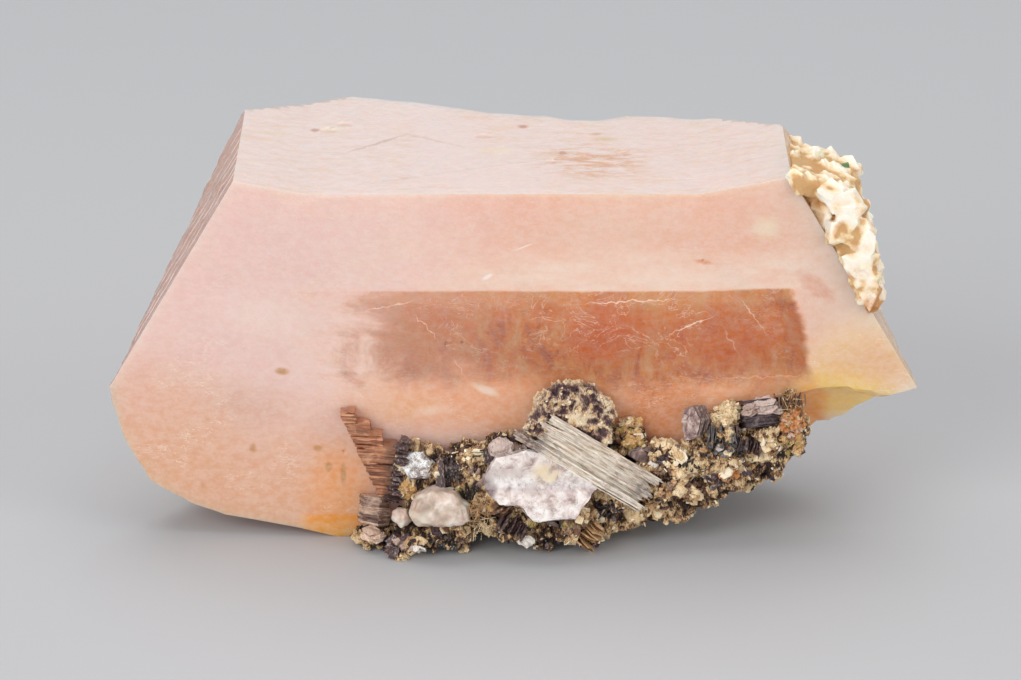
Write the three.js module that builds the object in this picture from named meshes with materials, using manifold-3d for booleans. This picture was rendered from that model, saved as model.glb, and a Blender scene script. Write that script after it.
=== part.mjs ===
// A morganite crystal on its matrix: one tabular hexagonal beryl standing on edge, its broad basal
// face to the front (-Y), with lepidolite mica books, albite and quartz grown along its lower edge,
// and a crust of albite blocks on its right side face. Millimetres, +Z up. The pieces are modelled
// with x = 0 near the middle of the front face, y = 0 at the foot of that face and z = 0 on the
// ground, and the finished group is moved so that its origin is under the middle of the specimen.

import * as THREE from 'three';
import { ConvexGeometry } from 'three/addons/geometries/ConvexGeometry.js';
import { mergeVertices } from 'three/addons/utils/BufferGeometryUtils.js';
import Module from 'manifold-3d';

const wasm = await Module();
wasm.setup();

// ---- driving dimensions ----

const GAP = 0.33; // clearance that grown-together pieces keep
const DEGREE = Math.PI / 180;

const LEFT_CORNER = { x: -73.8, z: 28.7 };
const RIGHT_CORNER = { x: 75, z: 28.3 };
const SIDE_ANGLE = 60 * DEGREE; // of the two upper side faces, from the horizontal
const TOP_HEIGHT = 67.4; // of the top face, at its front edge
const TOP_RISE = 1.5 * DEGREE; // of the top face, towards the back
const TOP_ENDS = { left: -38, right: 34.5, slope: 0.16 }; // where the top face starts to lift
const FRONT_LEAN = 1 * DEGREE; // of the front face, backwards
const FRONT_TURN = 5 * DEGREE; // of the outer parts of the front face, away from the middle
const FRONT_ENDS = { left: -38, right: 35 };
const DEEPEST = 62; // how far back the uncut prism reaches
const TIP = { x: -30.7, z: -0.4 }; // the broken corner that stands on the ground

// ---- small tools ----

// A repeatable source of numbers from 0 to 1.
function randomFrom(seed) {
  let state = seed;
  return () => {
    state = (state + 0x6d2b79f5) | 0;
    let mixed = Math.imul(state ^ (state >>> 15), 1 | state);
    mixed = (mixed + Math.imul(mixed ^ (mixed >>> 7), 61 | mixed)) ^ mixed;
    return ((mixed ^ (mixed >>> 14)) >>> 0) / 4294967296;
  };
}

function between(random, low, high) {
  return low + (high - low) * random();
}

// The height at x of a line drawn through sorted [x, height] points.
function heightAlong(points, x) {
  const next = points.findIndex(([px]) => px > x);
  if (next === 0) return points[0][1];
  if (next < 0) return points[points.length - 1][1];
  const [x0, h0] = points[next - 1];
  const [x1, h1] = points[next];
  return h0 + ((h1 - h0) * (x - x0)) / (x1 - x0);
}

function solidFrom(geometry) {
  const bare = geometry.clone();
  bare.deleteAttribute('normal');
  bare.deleteAttribute('uv');
  const merged = mergeVertices(bare, 1e-4);
  const vertProperties = new Float32Array(merged.attributes.position.array);
  const triVerts = new Uint32Array(merged.index.array);
  return new wasm.Manifold(new wasm.Mesh({ numProp: 3, vertProperties, triVerts }));
}

function geometryOf(solid) {
  const { vertProperties, triVerts } = solid.getMesh();
  const geometry = new THREE.BufferGeometry();
  geometry.setAttribute('position', new THREE.BufferAttribute(vertProperties, 3));
  geometry.setIndex(new THREE.BufferAttribute(triVerts, 1));
  geometry.computeVertexNormals();
  return geometry;
}

// A geometry made solid, then stretched to size, turned (degrees) and moved to its place.
function placed(geometry, at, [turnX, turnY, turnZ] = [0, 0, 0], size = [1, 1, 1]) {
  const turn = new THREE.Euler(turnX * DEGREE, turnY * DEGREE, turnZ * DEGREE, 'ZYX');
  const place = new THREE.Matrix4().compose(
    new THREE.Vector3(...at), new THREE.Quaternion().setFromEuler(turn), new THREE.Vector3(...size),
  );
  return solidFrom(geometry).transform(place.elements);
}

// An outline of [x, z] points, pulled from y = front to y = back.
function slab(outline, front, back) {
  const shape = new THREE.Shape(outline.map(([x, z]) => new THREE.Vector2(x, z)));
  const geometry = new THREE.ExtrudeGeometry(shape, { depth: back - front, bevelEnabled: false });
  geometry.rotateX(Math.PI / 2);
  geometry.translate(0, back, 0);
  return geometry;
}

function joined(solids) {
  return wasm.Manifold.union(solids).asOriginal();
}

// The same solid, grown by the clearance on every side.
function swollen(solid) {
  const copies = [solid];
  for (const x of [-1, 0, 1]) {
    for (const y of [-1, 0, 1]) {
      for (const z of [-1, 0, 1]) {
        const sides = Math.abs(x) + Math.abs(y) + Math.abs(z);
        const step = GAP / Math.sqrt(sides);
        if (sides === 1 || sides === 3) copies.push(solid.translate([x * step, y * step, z * step]));
      }
    }
  }
  return joined(copies);
}

// The largest piece of what stands above the ground, without loose crumbs.
function settled(solid) {
  const pieces = solid.trimByPlane([0, 0, 1], 0).simplify(0.08).decompose();
  pieces.sort((a, b) => b.volume() - a.volume());
  return pieces[0].asOriginal();
}

// ---- the morganite crystal ----

// The prism's outline. Its lower side isn't a crystal face: it broke off the pocket wall there.
function crystalOutline() {
  const above = 80;
  const slope = Math.tan(SIDE_ANGLE);
  return [
    [LEFT_CORNER.x, LEFT_CORNER.z],
    [LEFT_CORNER.x + (above - LEFT_CORNER.z) / slope, above],
    [RIGHT_CORNER.x - (above - RIGHT_CORNER.z) / slope, above],
    [RIGHT_CORNER.x, RIGHT_CORNER.z],
    [67.2, 26.4], [63.6, 23.3], [61.9, 21.4], [59.2, 20.6], [56.9, 20], [54.2, 17],
    [30, 12.5], [10, 8.5], [-12, 4.8], [-25, 3],
    [-28.6, 1.2], [TIP.x, TIP.z],
    [-39, 1.7], [-44.7, 2.6], [-53, 3.9], [-59.5, 6], [-66.9, 10.4], [-71.5, 18.6], [-73.2, 24.8],
  ];
}

// Everything above the top face. Its underside is flat in the middle and lifts at both ends.
function airAboveTop() {
  const { left, right, slope } = TOP_ENDS;
  const reach = 90;
  const outline = [
    [-reach, (left + reach) * slope], [left, 0], [right, 0], [reach, (reach - right) * slope],
    [reach, 40], [-reach, 40],
  ];
  const air = slab(outline, -10, DEEPEST + 10);
  air.rotateX(TOP_RISE);
  air.translate(0, 0, TOP_HEIGHT);
  return air;
}

// The broken back, as a depth behind the front face's foot. The crystal thins out to both corners.
const TOP_BACK_EDGE = [
  [-50, 42.6], [-40, 48.5], [-30, 51.7], [-21, 49], [-11, 45.3], [-2, 42.1],
  [15, 38.4], [21, 40], [27, 41.1], [39, 37.9], [52, 33.2],
];
const BACK_HOLLOWS = [
  { x: -22, z: 44, radius: 22, depth: 5 },
  { x: 16, z: 40, radius: 25, depth: 6 },
  { x: 45, z: 47, radius: 14, depth: 3.5 },
  { x: -2, z: 15, radius: 19, depth: 4.5 },
  { x: -47, z: 38, radius: 13, depth: 3 },
  { x: 36, z: 22, radius: 15, depth: 4 },
];

function backDepth(x, z) {
  const drop = (TOP_HEIGHT - z) / TOP_HEIGHT;
  const middle = heightAlong(TOP_BACK_EDGE, x) + 7 * Math.sin(Math.PI * drop) - 13 * drop * drop;
  const leftBreak = 93.1 + 1.28 * x + 0.17 * z;
  const rightBreak = 91.5 - 1.265 * x + 0.28 * z;
  let depth = Math.min(middle, leftBreak, rightBreak);
  for (const hollow of BACK_HOLLOWS) {
    const part = Math.hypot(x - hollow.x, z - hollow.z) / hollow.radius;
    if (part < 1) depth -= hollow.depth * (1 - part * part);
  }
  const away = Math.min(1, Math.max(0, (depth - 6) / 10)); // no waves on the thin corners
  const wide = 0.8 * Math.sin(0.33 * x + 0.9) * Math.sin(0.37 * z + 0.4);
  const fine = 0.5 * Math.sin(0.8 * x + 0.5 * z);
  return depth + (wide + fine) * away;
}

function blockUpToBack() {
  const block = new THREE.BoxGeometry(160, 30, 90, 32, 1, 18);
  block.translate(0, 0, 35);
  const position = block.attributes.position;
  for (let i = 0; i < position.count; i += 1) {
    if (position.getY(i) > 0) position.setY(i, backDepth(position.getX(i), position.getZ(i)));
  }
  return block;
}

// Fine steps that run down the left side face, along its front edge.
function sideFaceGrooves() {
  const middle = { x: LEFT_CORNER.x + 12, z: LEFT_CORNER.z + 12 * Math.tan(SIDE_ANGLE) };
  const outward = [-Math.sin(SIDE_ANGLE), Math.cos(SIDE_ANGLE)];
  const width = 1.6;
  const proud = width * Math.SQRT1_2 - 0.4; // leaves grooves 0.4 deep
  return [7, 10.5, 15, 18.5, 24, 30].map((y) => {
    const blade = new THREE.BoxGeometry(70, width, width);
    const at = [middle.x + outward[0] * proud, y, middle.z + outward[1] * proud];
    return placed(blade, at, [45, -SIDE_ANGLE / DEGREE, 0]);
  });
}

// Shallow shell-shaped chips along the broken lower edge, each a ball that bites into it.
function lowerEdgeChips() {
  const chips = [
    { at: [62, -4, 14], size: [25, 13.5, 17.5] },
    { at: [79, -3, 17], size: [11, 12, 10.5] },
    { at: [-64, -13, -3], size: [16, 16, 13] },
    { at: [-45, -15, -10], size: [18, 16.5, 14] },
    { at: [-77, -11, 14], size: [9, 14.5, 13] },
  ];
  return chips.map(({ at, size }) => placed(new THREE.IcosahedronGeometry(1, 3), at, [0, 0, 0], size));
}

// Etch pits: small six-sided dimples in the front face and rounder ones in the top face.
function etchPits() {
  const front = [[-11.8, 38.4], [-8.9, 38.6], [-47, 17.5], [-41.5, 33], [35, 54.5], [-30.7, 17]];
  const top = [[-34, 33], [-31, 36], [8, 17], [13, 19], [18, 16], [21, 21], [-5, 30], [44, 20]];
  const pits = [];
  for (const [x, z] of front) {
    const pit = new THREE.ConeGeometry(1.1, 1.2, 6);
    pits.push(placed(pit, [x, z * Math.tan(FRONT_LEAN) - 0.1, z]));
  }
  for (const [x, y] of top) {
    const pit = new THREE.SphereGeometry(1, 8, 5);
    pits.push(placed(pit, [x, y, TOP_HEIGHT + y * Math.tan(TOP_RISE) + 0.45], [0, 0, 0], [2.1, 1.6, 1]));
  }
  return pits;
}

function makeCrystalBody() {
  const lean = Math.sin(FRONT_LEAN);
  const turnedAway = (side, x) => {
    const normal = [-side * Math.sin(FRONT_TURN), Math.cos(FRONT_TURN), -lean];
    return [normal, normal[0] * x];
  };
  let crystal = solidFrom(slab(crystalOutline(), -8, DEEPEST));
  crystal = crystal.trimByPlane([0, 1, -lean], 0);
  crystal = crystal.trimByPlane(...turnedAway(-1, FRONT_ENDS.left));
  crystal = crystal.trimByPlane(...turnedAway(1, FRONT_ENDS.right));
  crystal = crystal.intersect(solidFrom(blockUpToBack()));
  crystal = crystal.subtract(solidFrom(airAboveTop()));
  return crystal.subtract(joined(lowerEdgeChips()));
}

// ---- the albite crust on the right side face ----

// A point of the crust, from how far down the side face it lies, its depth and its height off it.
function onRightFace(down, y, out) {
  const top = TOP_HEIGHT + 2.4;
  const x = RIGHT_CORNER.x - (top - RIGHT_CORNER.z) / Math.tan(SIDE_ANGLE);
  return [
    x + down * Math.cos(SIDE_ANGLE) + out * Math.sin(SIDE_ANGLE),
    y,
    top - down * Math.sin(SIDE_ANGLE) + out * Math.cos(SIDE_ANGLE),
  ];
}

// How thick the crust is at each distance down the face.
const CRUST_THICKNESS = [
  [-3, 0.5], [0, 4], [4, 8.4], [9, 8.8], [14, 6.8], [20, 5.4], [27, 3.2], [34, 0.9],
];

function makeCrust() {
  const random = randomFrom(411);
  const grains = [];
  const backing = [];
  for (let down = -2; down <= 32; down += 4) {
    const thick = heightAlong(CRUST_THICKNESS, down) * 0.62;
    for (const y of [5, 29 - Math.max(0, down) * 0.35]) {
      for (const out of [-3, thick]) backing.push(new THREE.Vector3(...onRightFace(down, y, out)));
    }
  }
  grains.push(solidFrom(new ConvexGeometry(backing)));
  for (let down = 1.2; down < 33; down += 4.2) {
    for (let y = 3.5; y < 31 - Math.max(0, down) * 0.3; y += 4.8) {
      const size = between(random, 3.2, 5.4) * (1 - Math.max(0, down - 16) * 0.022);
      const thick = heightAlong(CRUST_THICKNESS, down) - size * 0.5;
      const block = new THREE.BoxGeometry(
        size * between(random, 0.8, 1.5), size * between(random, 0.8, 1.3), size,
      );
      const seat = onRightFace(down + between(random, -1, 1), y + between(random, -1, 1), thick);
      const turn = [between(random, -35, 35), between(random, 20, 100), between(random, -35, 35)];
      grains.push(placed(block, seat, turn));
    }
  }
  return joined(grains).simplify(0.3);
}

// ---- shapes of mica, quartz and feldspar ----

// A stack of flat leaves, each the same [x, z] outline a little shifted and shrunk.
function bookSolid({ outline, leaves, thickness, shift, shrink, at, turn, seed }) {
  const random = randomFrom(seed);
  const sheets = [];
  for (let leaf = 0; leaf < leaves; leaf += 1) {
    const size = 1 - shrink * Math.abs(random() - 0.3);
    const dx = between(random, -shift, shift);
    const dz = between(random, -shift, shift);
    const points = outline.map(([x, z]) => [x * size + dx, z * size + dz]);
    const sheet = slab(points, leaf * thickness, (leaf + 1) * thickness + 0.05);
    sheets.push(placed(sheet, at, turn));
  }
  return joined(sheets);
}

function hexagon(width, height) {
  return [0, 1, 2, 3, 4, 5].map((corner) => {
    const angle = (corner * 60 + 12) * DEGREE;
    return [(width / 2) * Math.cos(angle), (height / 2) * Math.sin(angle)];
  });
}

// A rough lump: a ball of a few corners, spread evenly and pushed in and out.
function lump(random, radius, corners = 10) {
  const points = [];
  for (let i = 0; i < corners; i += 1) {
    const up = 1 - (2 * (i + 0.5)) / corners;
    const around = i * 2.4 + random();
    const side = Math.sqrt(1 - up * up);
    const point = new THREE.Vector3(side * Math.cos(around), side * Math.sin(around), up);
    points.push(point.multiplyScalar(radius * between(random, 0.8, 1.15)));
  }
  return new ConvexGeometry(points);
}

// A short six-sided mica crystal, one end face a little smaller than the other.
function micaPlate(random, radius) {
  const corners = [];
  const taper = between(random, 0.75, 1);
  const broad = between(random, 0.7, 1.1);
  const half = radius * 0.36;
  for (let i = 0; i < 6; i += 1) {
    const x = radius * Math.cos(i * 60 * DEGREE);
    const z = radius * broad * Math.sin(i * 60 * DEGREE);
    corners.push(new THREE.Vector3(x, half, z), new THREE.Vector3(x * taper, -half, z * taper));
  }
  return new ConvexGeometry(corners);
}

// A patch of the matrix: a solid heart with lumps and six-sided mica plates standing out of it.
function patch(random, { at, size, grains, grain }) {
  const heart = lump(random, 1);
  const made = [placed(heart, at, [0, 0, 0], size.map((reach) => reach * 0.92))];
  for (let i = 0; i < grains; i += 1) {
    const up = 1 - (2 * (i + 0.5)) / grains;
    const around = i * 2.4 + random() * 0.8;
    const side = Math.sqrt(1 - up * up);
    const spot = [
      at[0] + size[0] * 0.84 * side * Math.cos(around),
      at[1] + size[1] * 0.84 * side * Math.sin(around),
      at[2] + size[2] * 0.84 * up,
    ];
    const radius = grain * between(random, 0.7, 1.25);
    const turn = [random() * 180, random() * 180, random() * 180];
    const shape = random() < 0.55 ? micaPlate(random, radius) : lump(random, radius * 0.85, 8);
    made.push(placed(shape, spot, turn));
  }
  return made;
}

// ---- the mica books, each a crystal of its own ----

const LEAN_BACK = -22; // degrees that the large pearly book lies back from the vertical

const BOOKS = {
  mica_book_pearl: {
    outline: [
      [-10.6, 1.6], [-8.5, 4.8], [-3, 6], [3.3, 5.6], [5.4, 3.2], [11, 0.5],
      [10.2, -0.8], [6.5, -5.6], [-1.3, -6.1], [-3.9, -3.4], [-7.9, -3.2], [-10.3, -0.8],
    ],
    leaves: 5, thickness: 1.1, shift: 0.35, shrink: 0.07,
    at: [5.4, -10.8, 14.2], turn: [LEAN_BACK, 0, 0], seed: 5,
  },
  mica_book_spotted: {
    outline: [
      [-7.4, -0.6], [-6.3, 2.3], [-2.8, 5.3], [3.7, 4.8], [7.8, 0],
      [5.8, -5.4], [-3.9, -5.8], [-8.7, -3],
    ],
    leaves: 4, thickness: 1.2, shift: 0.3, shrink: 0.08,
    at: [11.4, -5.6, 27.2], turn: [-14, 0, 0], seed: 8,
  },
  mica_book_layered: {
    outline: [[-13.5, -4.5], [-11, 4], [4, 6.5], [13, 4], [14.5, -2], [9, -6.5], [-6, -6.8]],
    leaves: 5, thickness: 1.35, shift: 0.9, shrink: 0.1,
    at: [13.2, -5.4, 15.2], turn: [70, 33, 0], seed: 12,
  },
  mica_book_silver: {
    outline: hexagon(6.6, 5.8),
    leaves: 3, thickness: 0.9, shift: 0.25, shrink: 0.12,
    at: [-17.1, -5.4, 16.9], turn: [-30, 0, -8], seed: 3,
  },
  mica_book_nodule: {
    outline: hexagon(6.4, 6.2),
    leaves: 5, thickness: 1, shift: 0.35, shrink: 0.16,
    at: [-25.4, -4.2, 4.6], turn: [75, 8, 0], seed: 21,
  },
  mica_book_dark: {
    outline: hexagon(4.4, 5.2),
    leaves: 4, thickness: 0.9, shift: 0.25, shrink: 0.12,
    at: [23.8, -5.4, 17.6], turn: [-12, 0, 20], seed: 17,
  },
  mica_book_lilac: {
    outline: hexagon(4.6, 7),
    leaves: 4, thickness: 0.95, shift: 0.3, shrink: 0.14,
    at: [33, -5.2, 25], turn: [-10, 0, -28], seed: 29,
  },
  mica_book_fan: {
    outline: hexagon(9.2, 8.4),
    leaves: 5, thickness: 1, shift: 0.3, shrink: 0.1,
    at: [46.2, -1.8, 23], turn: [68, -6, 0], seed: 33,
  },
};

// The book at the left end shows the edges of its leaves, as a stack of wedge-shaped ledges.
function makeRibbedBook() {
  const random = randomFrom(14);
  const ledges = [];
  const count = 8;
  const [low, high] = [10, 25];
  for (let i = 0; i < count; i += 1) {
    const part = i / (count - 1);
    const z = low + (high - low) * part;
    const left = -25.4 - 6.2 * part + between(random, -0.4, 0.4);
    const right = heightAlong([[0, -20.8], [0.55, -21], [1, -28.6]], part) + between(random, -0.5, 0.5);
    const front = -4.4 + between(random, -0.5, 0.5) + 1.2 * part;
    const ledge = new THREE.BoxGeometry(right - left, 8, (high - low) / count + 0.5);
    ledges.push(placed(ledge, [(left + right) / 2, front + 4, z], [0, between(random, -5, 5), 0]));
  }
  return joined(ledges);
}

function makeQuartzBlock() {
  const outline = [
    [-5.6, -1.2], [-4.4, 2.4], [-1, 3.7], [2.6, 3.1], [5, 0.6], [5.7, -2], [2, -3.2], [-3.6, -3],
  ];
  const corners = outline.flatMap(([x, z]) => [
    new THREE.Vector3(x * 0.8, 0, z * 0.78),
    new THREE.Vector3(x, 1.4, z),
    new THREE.Vector3(x, 6.5, z),
  ]);
  return placed(new ConvexGeometry(corners), [-13.2, -12.6, 10.6], [-12, 0, -4]);
}

function makeQuartzChip() {
  return placed(lump(randomFrom(77), 2.5, 9), [-19.9, -9.2, 7.9]);
}

// ---- the matrix ----

const MATRIX_PATCHES = [
  // in front of the crystal and below it, from left to right
  { at: [-24.5, -1.6, 6], size: [4.4, 3.4, 4.6], grains: 4, grain: 2.2 },
  { at: [-24.4, -4.4, 1.9], size: [4.8, 3.8, 2], grains: 3, grain: 1.7 },
  { at: [-18.2, -1.8, 14.4], size: [5.4, 3.6, 7], grains: 6, grain: 2.4 },
  { at: [-8, -3, 16], size: [5.2, 4, 6.2], grains: 6, grain: 2.5 },
  { at: [-1.4, -3.4, 20.4], size: [3.8, 3.6, 3.2], grains: 4, grain: 2.2 },
  { at: [-7, -4.6, 8], size: [5, 5, 5], grains: 4, grain: 2.4 },
  { at: [-14, -5.4, 4.4], size: [7.6, 6.4, 5.2], grains: 7, grain: 2.7 },
  { at: [-20.6, -8.6, 1.8], size: [2.8, 3, 2.8], grains: 2, grain: 2.1 },
  { at: [3, -5.6, 7.2], size: [7.4, 6, 6.6], grains: 6, grain: 2.7 },
  { at: [11, -5, 6.6], size: [7.4, 6, 6.2], grains: 6, grain: 2.7 },
  { at: [18, -3, 11], size: [5, 4.4, 5.4], grains: 4, grain: 2.4 },
  { at: [21, -0.6, 20.6], size: [4.4, 2.8, 4.6], grains: 5, grain: 1.9 },
  { at: [29, -1.8, 10.4], size: [6.2, 5.4, 6.6], grains: 6, grain: 2.5 },
  { at: [38.4, -1, 19], size: [6.4, 5, 7.8], grains: 8, grain: 2.5 },
  { at: [47.4, 2, 20.6], size: [6.6, 6.4, 7.6], grains: 7, grain: 2.5 },
  { at: [50.6, 4, 27.4], size: [4, 3.6, 3.6], grains: 3, grain: 1.9 },
  // a broad foot under the middle, and lumps along the foot of the broken back
  { at: [0, 12, 3.4], size: [7.5, 7, 4.6], grains: 2, grain: 3 },
  { at: [-9, 30, 3.6], size: [9, 6, 5.6], grains: 2, grain: 3.4 },
  { at: [8, 32, 7], size: [11, 6.4, 8.6], grains: 4, grain: 3.8 },
  { at: [26, 30, 9.6], size: [10, 6.4, 8], grains: 3, grain: 3.6 },
  { at: [41, 23, 14], size: [7, 6, 6], grains: 2, grain: 3 },
];

// The bed that the crystal grew on, under its broken lower side: its lower and upper outline as
// [x, z], its plan as [x, y], and the knobs that stand out below it. Those that reach the ground
// are worn flat on it.
const BED = {
  under: [[-20, 1.6], [13, 1.6], [24, 3.6], [34, 6.4], [43, 11], [51, 13.4]],
  above: [[52, 19], [30, 15], [10, 11], [-12, 7], [-20, 5]],
  plan: [
    [-20, 5], [-16, -3], [0, -4], [30, -4], [49, -2], [53, 8], [50, 18], [38, 27],
    [15, 34], [-5, 33], [-16, 26], [-21, 14],
  ],
  front: -4,
  back: 34,
};
const BED_KNOBS = { apart: 10, radius: [4.4, 6] };

function bedSolid() {
  const layers = solidFrom(slab([...BED.under, ...BED.above], BED.front, BED.back));
  const edges = BED.plan.flatMap(([x, y]) => [new THREE.Vector3(x, y, -2), new THREE.Vector3(x, y, 24)]);
  return layers.intersect(solidFrom(new ConvexGeometry(edges)));
}

function bedKnobs(random) {
  const knobs = [];
  for (let x = -15; x < 50; x += BED_KNOBS.apart) {
    for (let y = 5; y < 30; y += BED_KNOBS.apart) {
      const radius = between(random, ...BED_KNOBS.radius);
      const spot = [x + between(random, -2, 2), y + between(random, -1.5, 1.5)];
      knobs.push(placed(lump(random, radius), [...spot, heightAlong(BED.under, x) + radius * 0.35]));
    }
  }
  return knobs;
}

function makeMatrix() {
  const random = randomFrom(2026);
  const parts = MATRIX_PATCHES.flatMap((place) => patch(random, place));
  return joined([bedSolid(), ...parts, ...bedKnobs(random)]).simplify(0.45);
}

// ---- the specimen ----

const LOOKS = {
  morganite_crystal: { color: 0xebb9a4, roughness: 0.25 },
  lepidolite_matrix: { color: 0x8d6d57, roughness: 0.8 },
  albite_crust: { color: 0xf2e6d4, roughness: 0.6 },
  mica_book_pearl: { color: 0xdcccc6, roughness: 0.35 },
  mica_book_layered: { color: 0xaa9a8a, roughness: 0.5 },
  mica_book_spotted: { color: 0x9a7f6d, roughness: 0.6 },
  mica_book_ribbed: { color: 0xa16c53, roughness: 0.5 },
  mica_book_silver: { color: 0xd8ccc6, roughness: 0.2, metalness: 0.3 },
  mica_book_nodule: { color: 0x9c8279, roughness: 0.5 },
  mica_book_dark: { color: 0x5d4a48, roughness: 0.4 },
  mica_book_lilac: { color: 0xa48b8a, roughness: 0.4 },
  mica_book_fan: { color: 0x6e5756, roughness: 0.4 },
  quartz_block: { color: 0xd1beb0, roughness: 0.3 },
  quartz_chip: { color: 0xe6dbd2, roughness: 0.3 },
};

// The pieces in the order in which they take their room: each is cut clear of those before it.
function makeSpecimen() {
  const body = makeCrystalBody();
  const pieces = {
    morganite_crystal: body.subtract(joined([...sideFaceGrooves(), ...etchPits()])),
    albite_crust: makeCrust(),
  };
  for (const [name, book] of Object.entries(BOOKS)) pieces[name] = bookSolid(book);
  pieces.mica_book_ribbed = makeRibbedBook();
  pieces.quartz_block = makeQuartzBlock();
  pieces.quartz_chip = makeQuartzChip();
  pieces.lepidolite_matrix = makeMatrix();

  const specimen = new THREE.Group();
  let taken;
  for (const [name, whole] of Object.entries(pieces)) {
    const solid = settled(taken ? whole.subtract(taken) : whole);
    const room = swollen(taken ? solid.simplify(0.08) : body.simplify(0.3)).simplify(0.1);
    taken = taken ? joined([taken, room]) : room;
    const material = new THREE.MeshStandardMaterial({ metalness: 0, ...LOOKS[name], flatShading: true });
    const mesh = new THREE.Mesh(geometryOf(solid), material);
    mesh.name = name;
    specimen.add(mesh);
  }
  const box = new THREE.Box3().setFromObject(specimen);
  const middle = box.getCenter(new THREE.Vector3());
  specimen.position.set(-middle.x, -middle.y, -box.min.z);
  return specimen;
}

export default makeSpecimen();
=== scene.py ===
# %% [markdown]
# # A morganite crystal on its matrix
# Morganite is the pink variety of beryl. This specimen is one flat six-sided crystal that stands on
# its edge: the broad end face looks to the front, the narrow side faces look up, left and right, and
# the lower side and the back are broken. Mica books, albite and quartz have grown along its foot.
#
# The solid model of the specimen gives every piece its size and place, and this script gives each
# its finish. So the first step loads that model, and nothing in it is moved.

# %% Load the solid model
import math
import random

import bmesh
import bpy
from mathutils import Matrix, Vector, noise
from mathutils.bvhtree import BVHTree


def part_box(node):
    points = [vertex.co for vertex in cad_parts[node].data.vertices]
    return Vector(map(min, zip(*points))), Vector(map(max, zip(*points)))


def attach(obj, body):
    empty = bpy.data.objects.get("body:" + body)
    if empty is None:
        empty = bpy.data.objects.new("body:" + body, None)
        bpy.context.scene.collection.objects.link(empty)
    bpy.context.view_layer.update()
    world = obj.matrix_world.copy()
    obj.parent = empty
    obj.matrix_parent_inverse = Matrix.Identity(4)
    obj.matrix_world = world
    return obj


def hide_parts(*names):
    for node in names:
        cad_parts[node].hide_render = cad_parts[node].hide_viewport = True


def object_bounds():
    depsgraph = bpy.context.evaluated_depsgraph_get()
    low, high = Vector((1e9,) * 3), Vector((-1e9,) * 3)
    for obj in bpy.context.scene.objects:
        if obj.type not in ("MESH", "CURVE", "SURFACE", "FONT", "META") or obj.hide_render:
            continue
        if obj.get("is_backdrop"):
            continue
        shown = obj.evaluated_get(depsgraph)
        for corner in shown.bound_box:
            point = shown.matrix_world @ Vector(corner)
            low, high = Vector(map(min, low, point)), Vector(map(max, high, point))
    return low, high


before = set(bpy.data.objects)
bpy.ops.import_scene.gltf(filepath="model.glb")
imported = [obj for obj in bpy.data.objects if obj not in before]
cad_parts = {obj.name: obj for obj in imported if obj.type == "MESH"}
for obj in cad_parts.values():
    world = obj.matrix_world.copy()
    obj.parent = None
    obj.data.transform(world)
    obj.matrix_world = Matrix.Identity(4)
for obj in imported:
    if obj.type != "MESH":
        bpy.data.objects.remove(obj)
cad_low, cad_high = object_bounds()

noise.seed_set(7)  # noise_vector follows the clock without it, and each run differs

print("nodes:", ", ".join(sorted(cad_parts)))

# %% [markdown]
# ## Millimetres on the specimen
# A specimen like this is easiest to describe in millimetres, with x = 0 near the middle of the
# broad front face, y = 0 at the foot of that face and z = 0 on the ground. Blender works in metres,
# and the solid model has its origin elsewhere, so one function turns the first into the second.
# It is worked out from the crystal's own box, so it follows if the solid model moves.

# %% Places in millimetres
MM = 0.001
RIGHT_TIP_X = 75.0  # the crystal's right corner

crystal_low, crystal_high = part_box("morganite_crystal")
SHIFT = Vector((crystal_high.x - RIGHT_TIP_X * MM, crystal_low.y, 0))


def place(x, y, z):
    """A point given in millimetres on the specimen, in metres in the model's frame."""
    return SHIFT + Vector((x, y, z)) * MM


def on_specimen(point):
    """The other way round: a model point, in millimetres on the specimen."""
    return (point - SHIFT) / MM


print("shift in mm:", [round(c / MM, 2) for c in SHIFT])

# %% [markdown]
# ## Camera
# The specimen is seen from a little above, square on to its front face, from almost a metre away.
# A long lens keeps the six-sided outline true.

# %% Camera
AIM = place(0, 15, 33.3)
ELEVATION = math.radians(22)
DISTANCE = 950 * MM
LENS_MM = 180

camera_data = bpy.data.cameras.new("camera")
camera_data.lens = LENS_MM
camera_data.sensor_width = 36
camera = bpy.data.objects.new("camera", camera_data)
bpy.context.scene.collection.objects.link(camera)
camera.location = AIM + DISTANCE * Vector((0, -math.cos(ELEVATION), math.sin(ELEVATION)))
camera.rotation_euler = (math.pi / 2 - ELEVATION, 0, 0)
bpy.context.scene.camera = camera
print("camera at", [round(c, 3) for c in camera.location])

# %% [markdown]
# ## Floor and light
# Pale crystals need soft light from large areas: small lamps would burn white spots into the faces
# and leave the milky inside dull. One softbox hangs above and behind, so that the top face shines
# paler than the front. A wide one stands to the front left and lights the broad face, a weaker one
# fills in from the right, and a long low one lights the hollows under the books. The world adds an
# even grey, which the side faces mirror.

# %% Floor, softboxes and world
FLOOR_GREY = (0.46, 0.46, 0.47)
FLOOR_RADIUS = 3  # metres


def softbox(name, spot, size, watts, aim=AIM):
    """A large rectangular lamp at a spot, turned to the specimen. Sizes and places are metres."""
    light = bpy.data.lights.new(name, "AREA")
    light.shape = "RECTANGLE"
    light.size, light.size_y = size
    light.energy = watts
    lamp = bpy.data.objects.new(name, light)
    bpy.context.scene.collection.objects.link(lamp)
    lamp.location = spot
    lamp.rotation_euler = (aim - Vector(spot)).to_track_quat("-Z", "Y").to_euler()
    return lamp


softbox("softbox_above", (0, 0.25, 0.95), (1.1, 0.9), 6)
softbox("softbox_front_left", (-0.75, -0.85, 0.6), (0.8, 0.8), 9.5)
softbox("softbox_right", (0.95, -0.5, 0.45), (0.6, 0.8), 4)
softbox("softbox_low_front", (0.1, -1.1, 0.16), (0.9, 0.25), 1.9)

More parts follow.
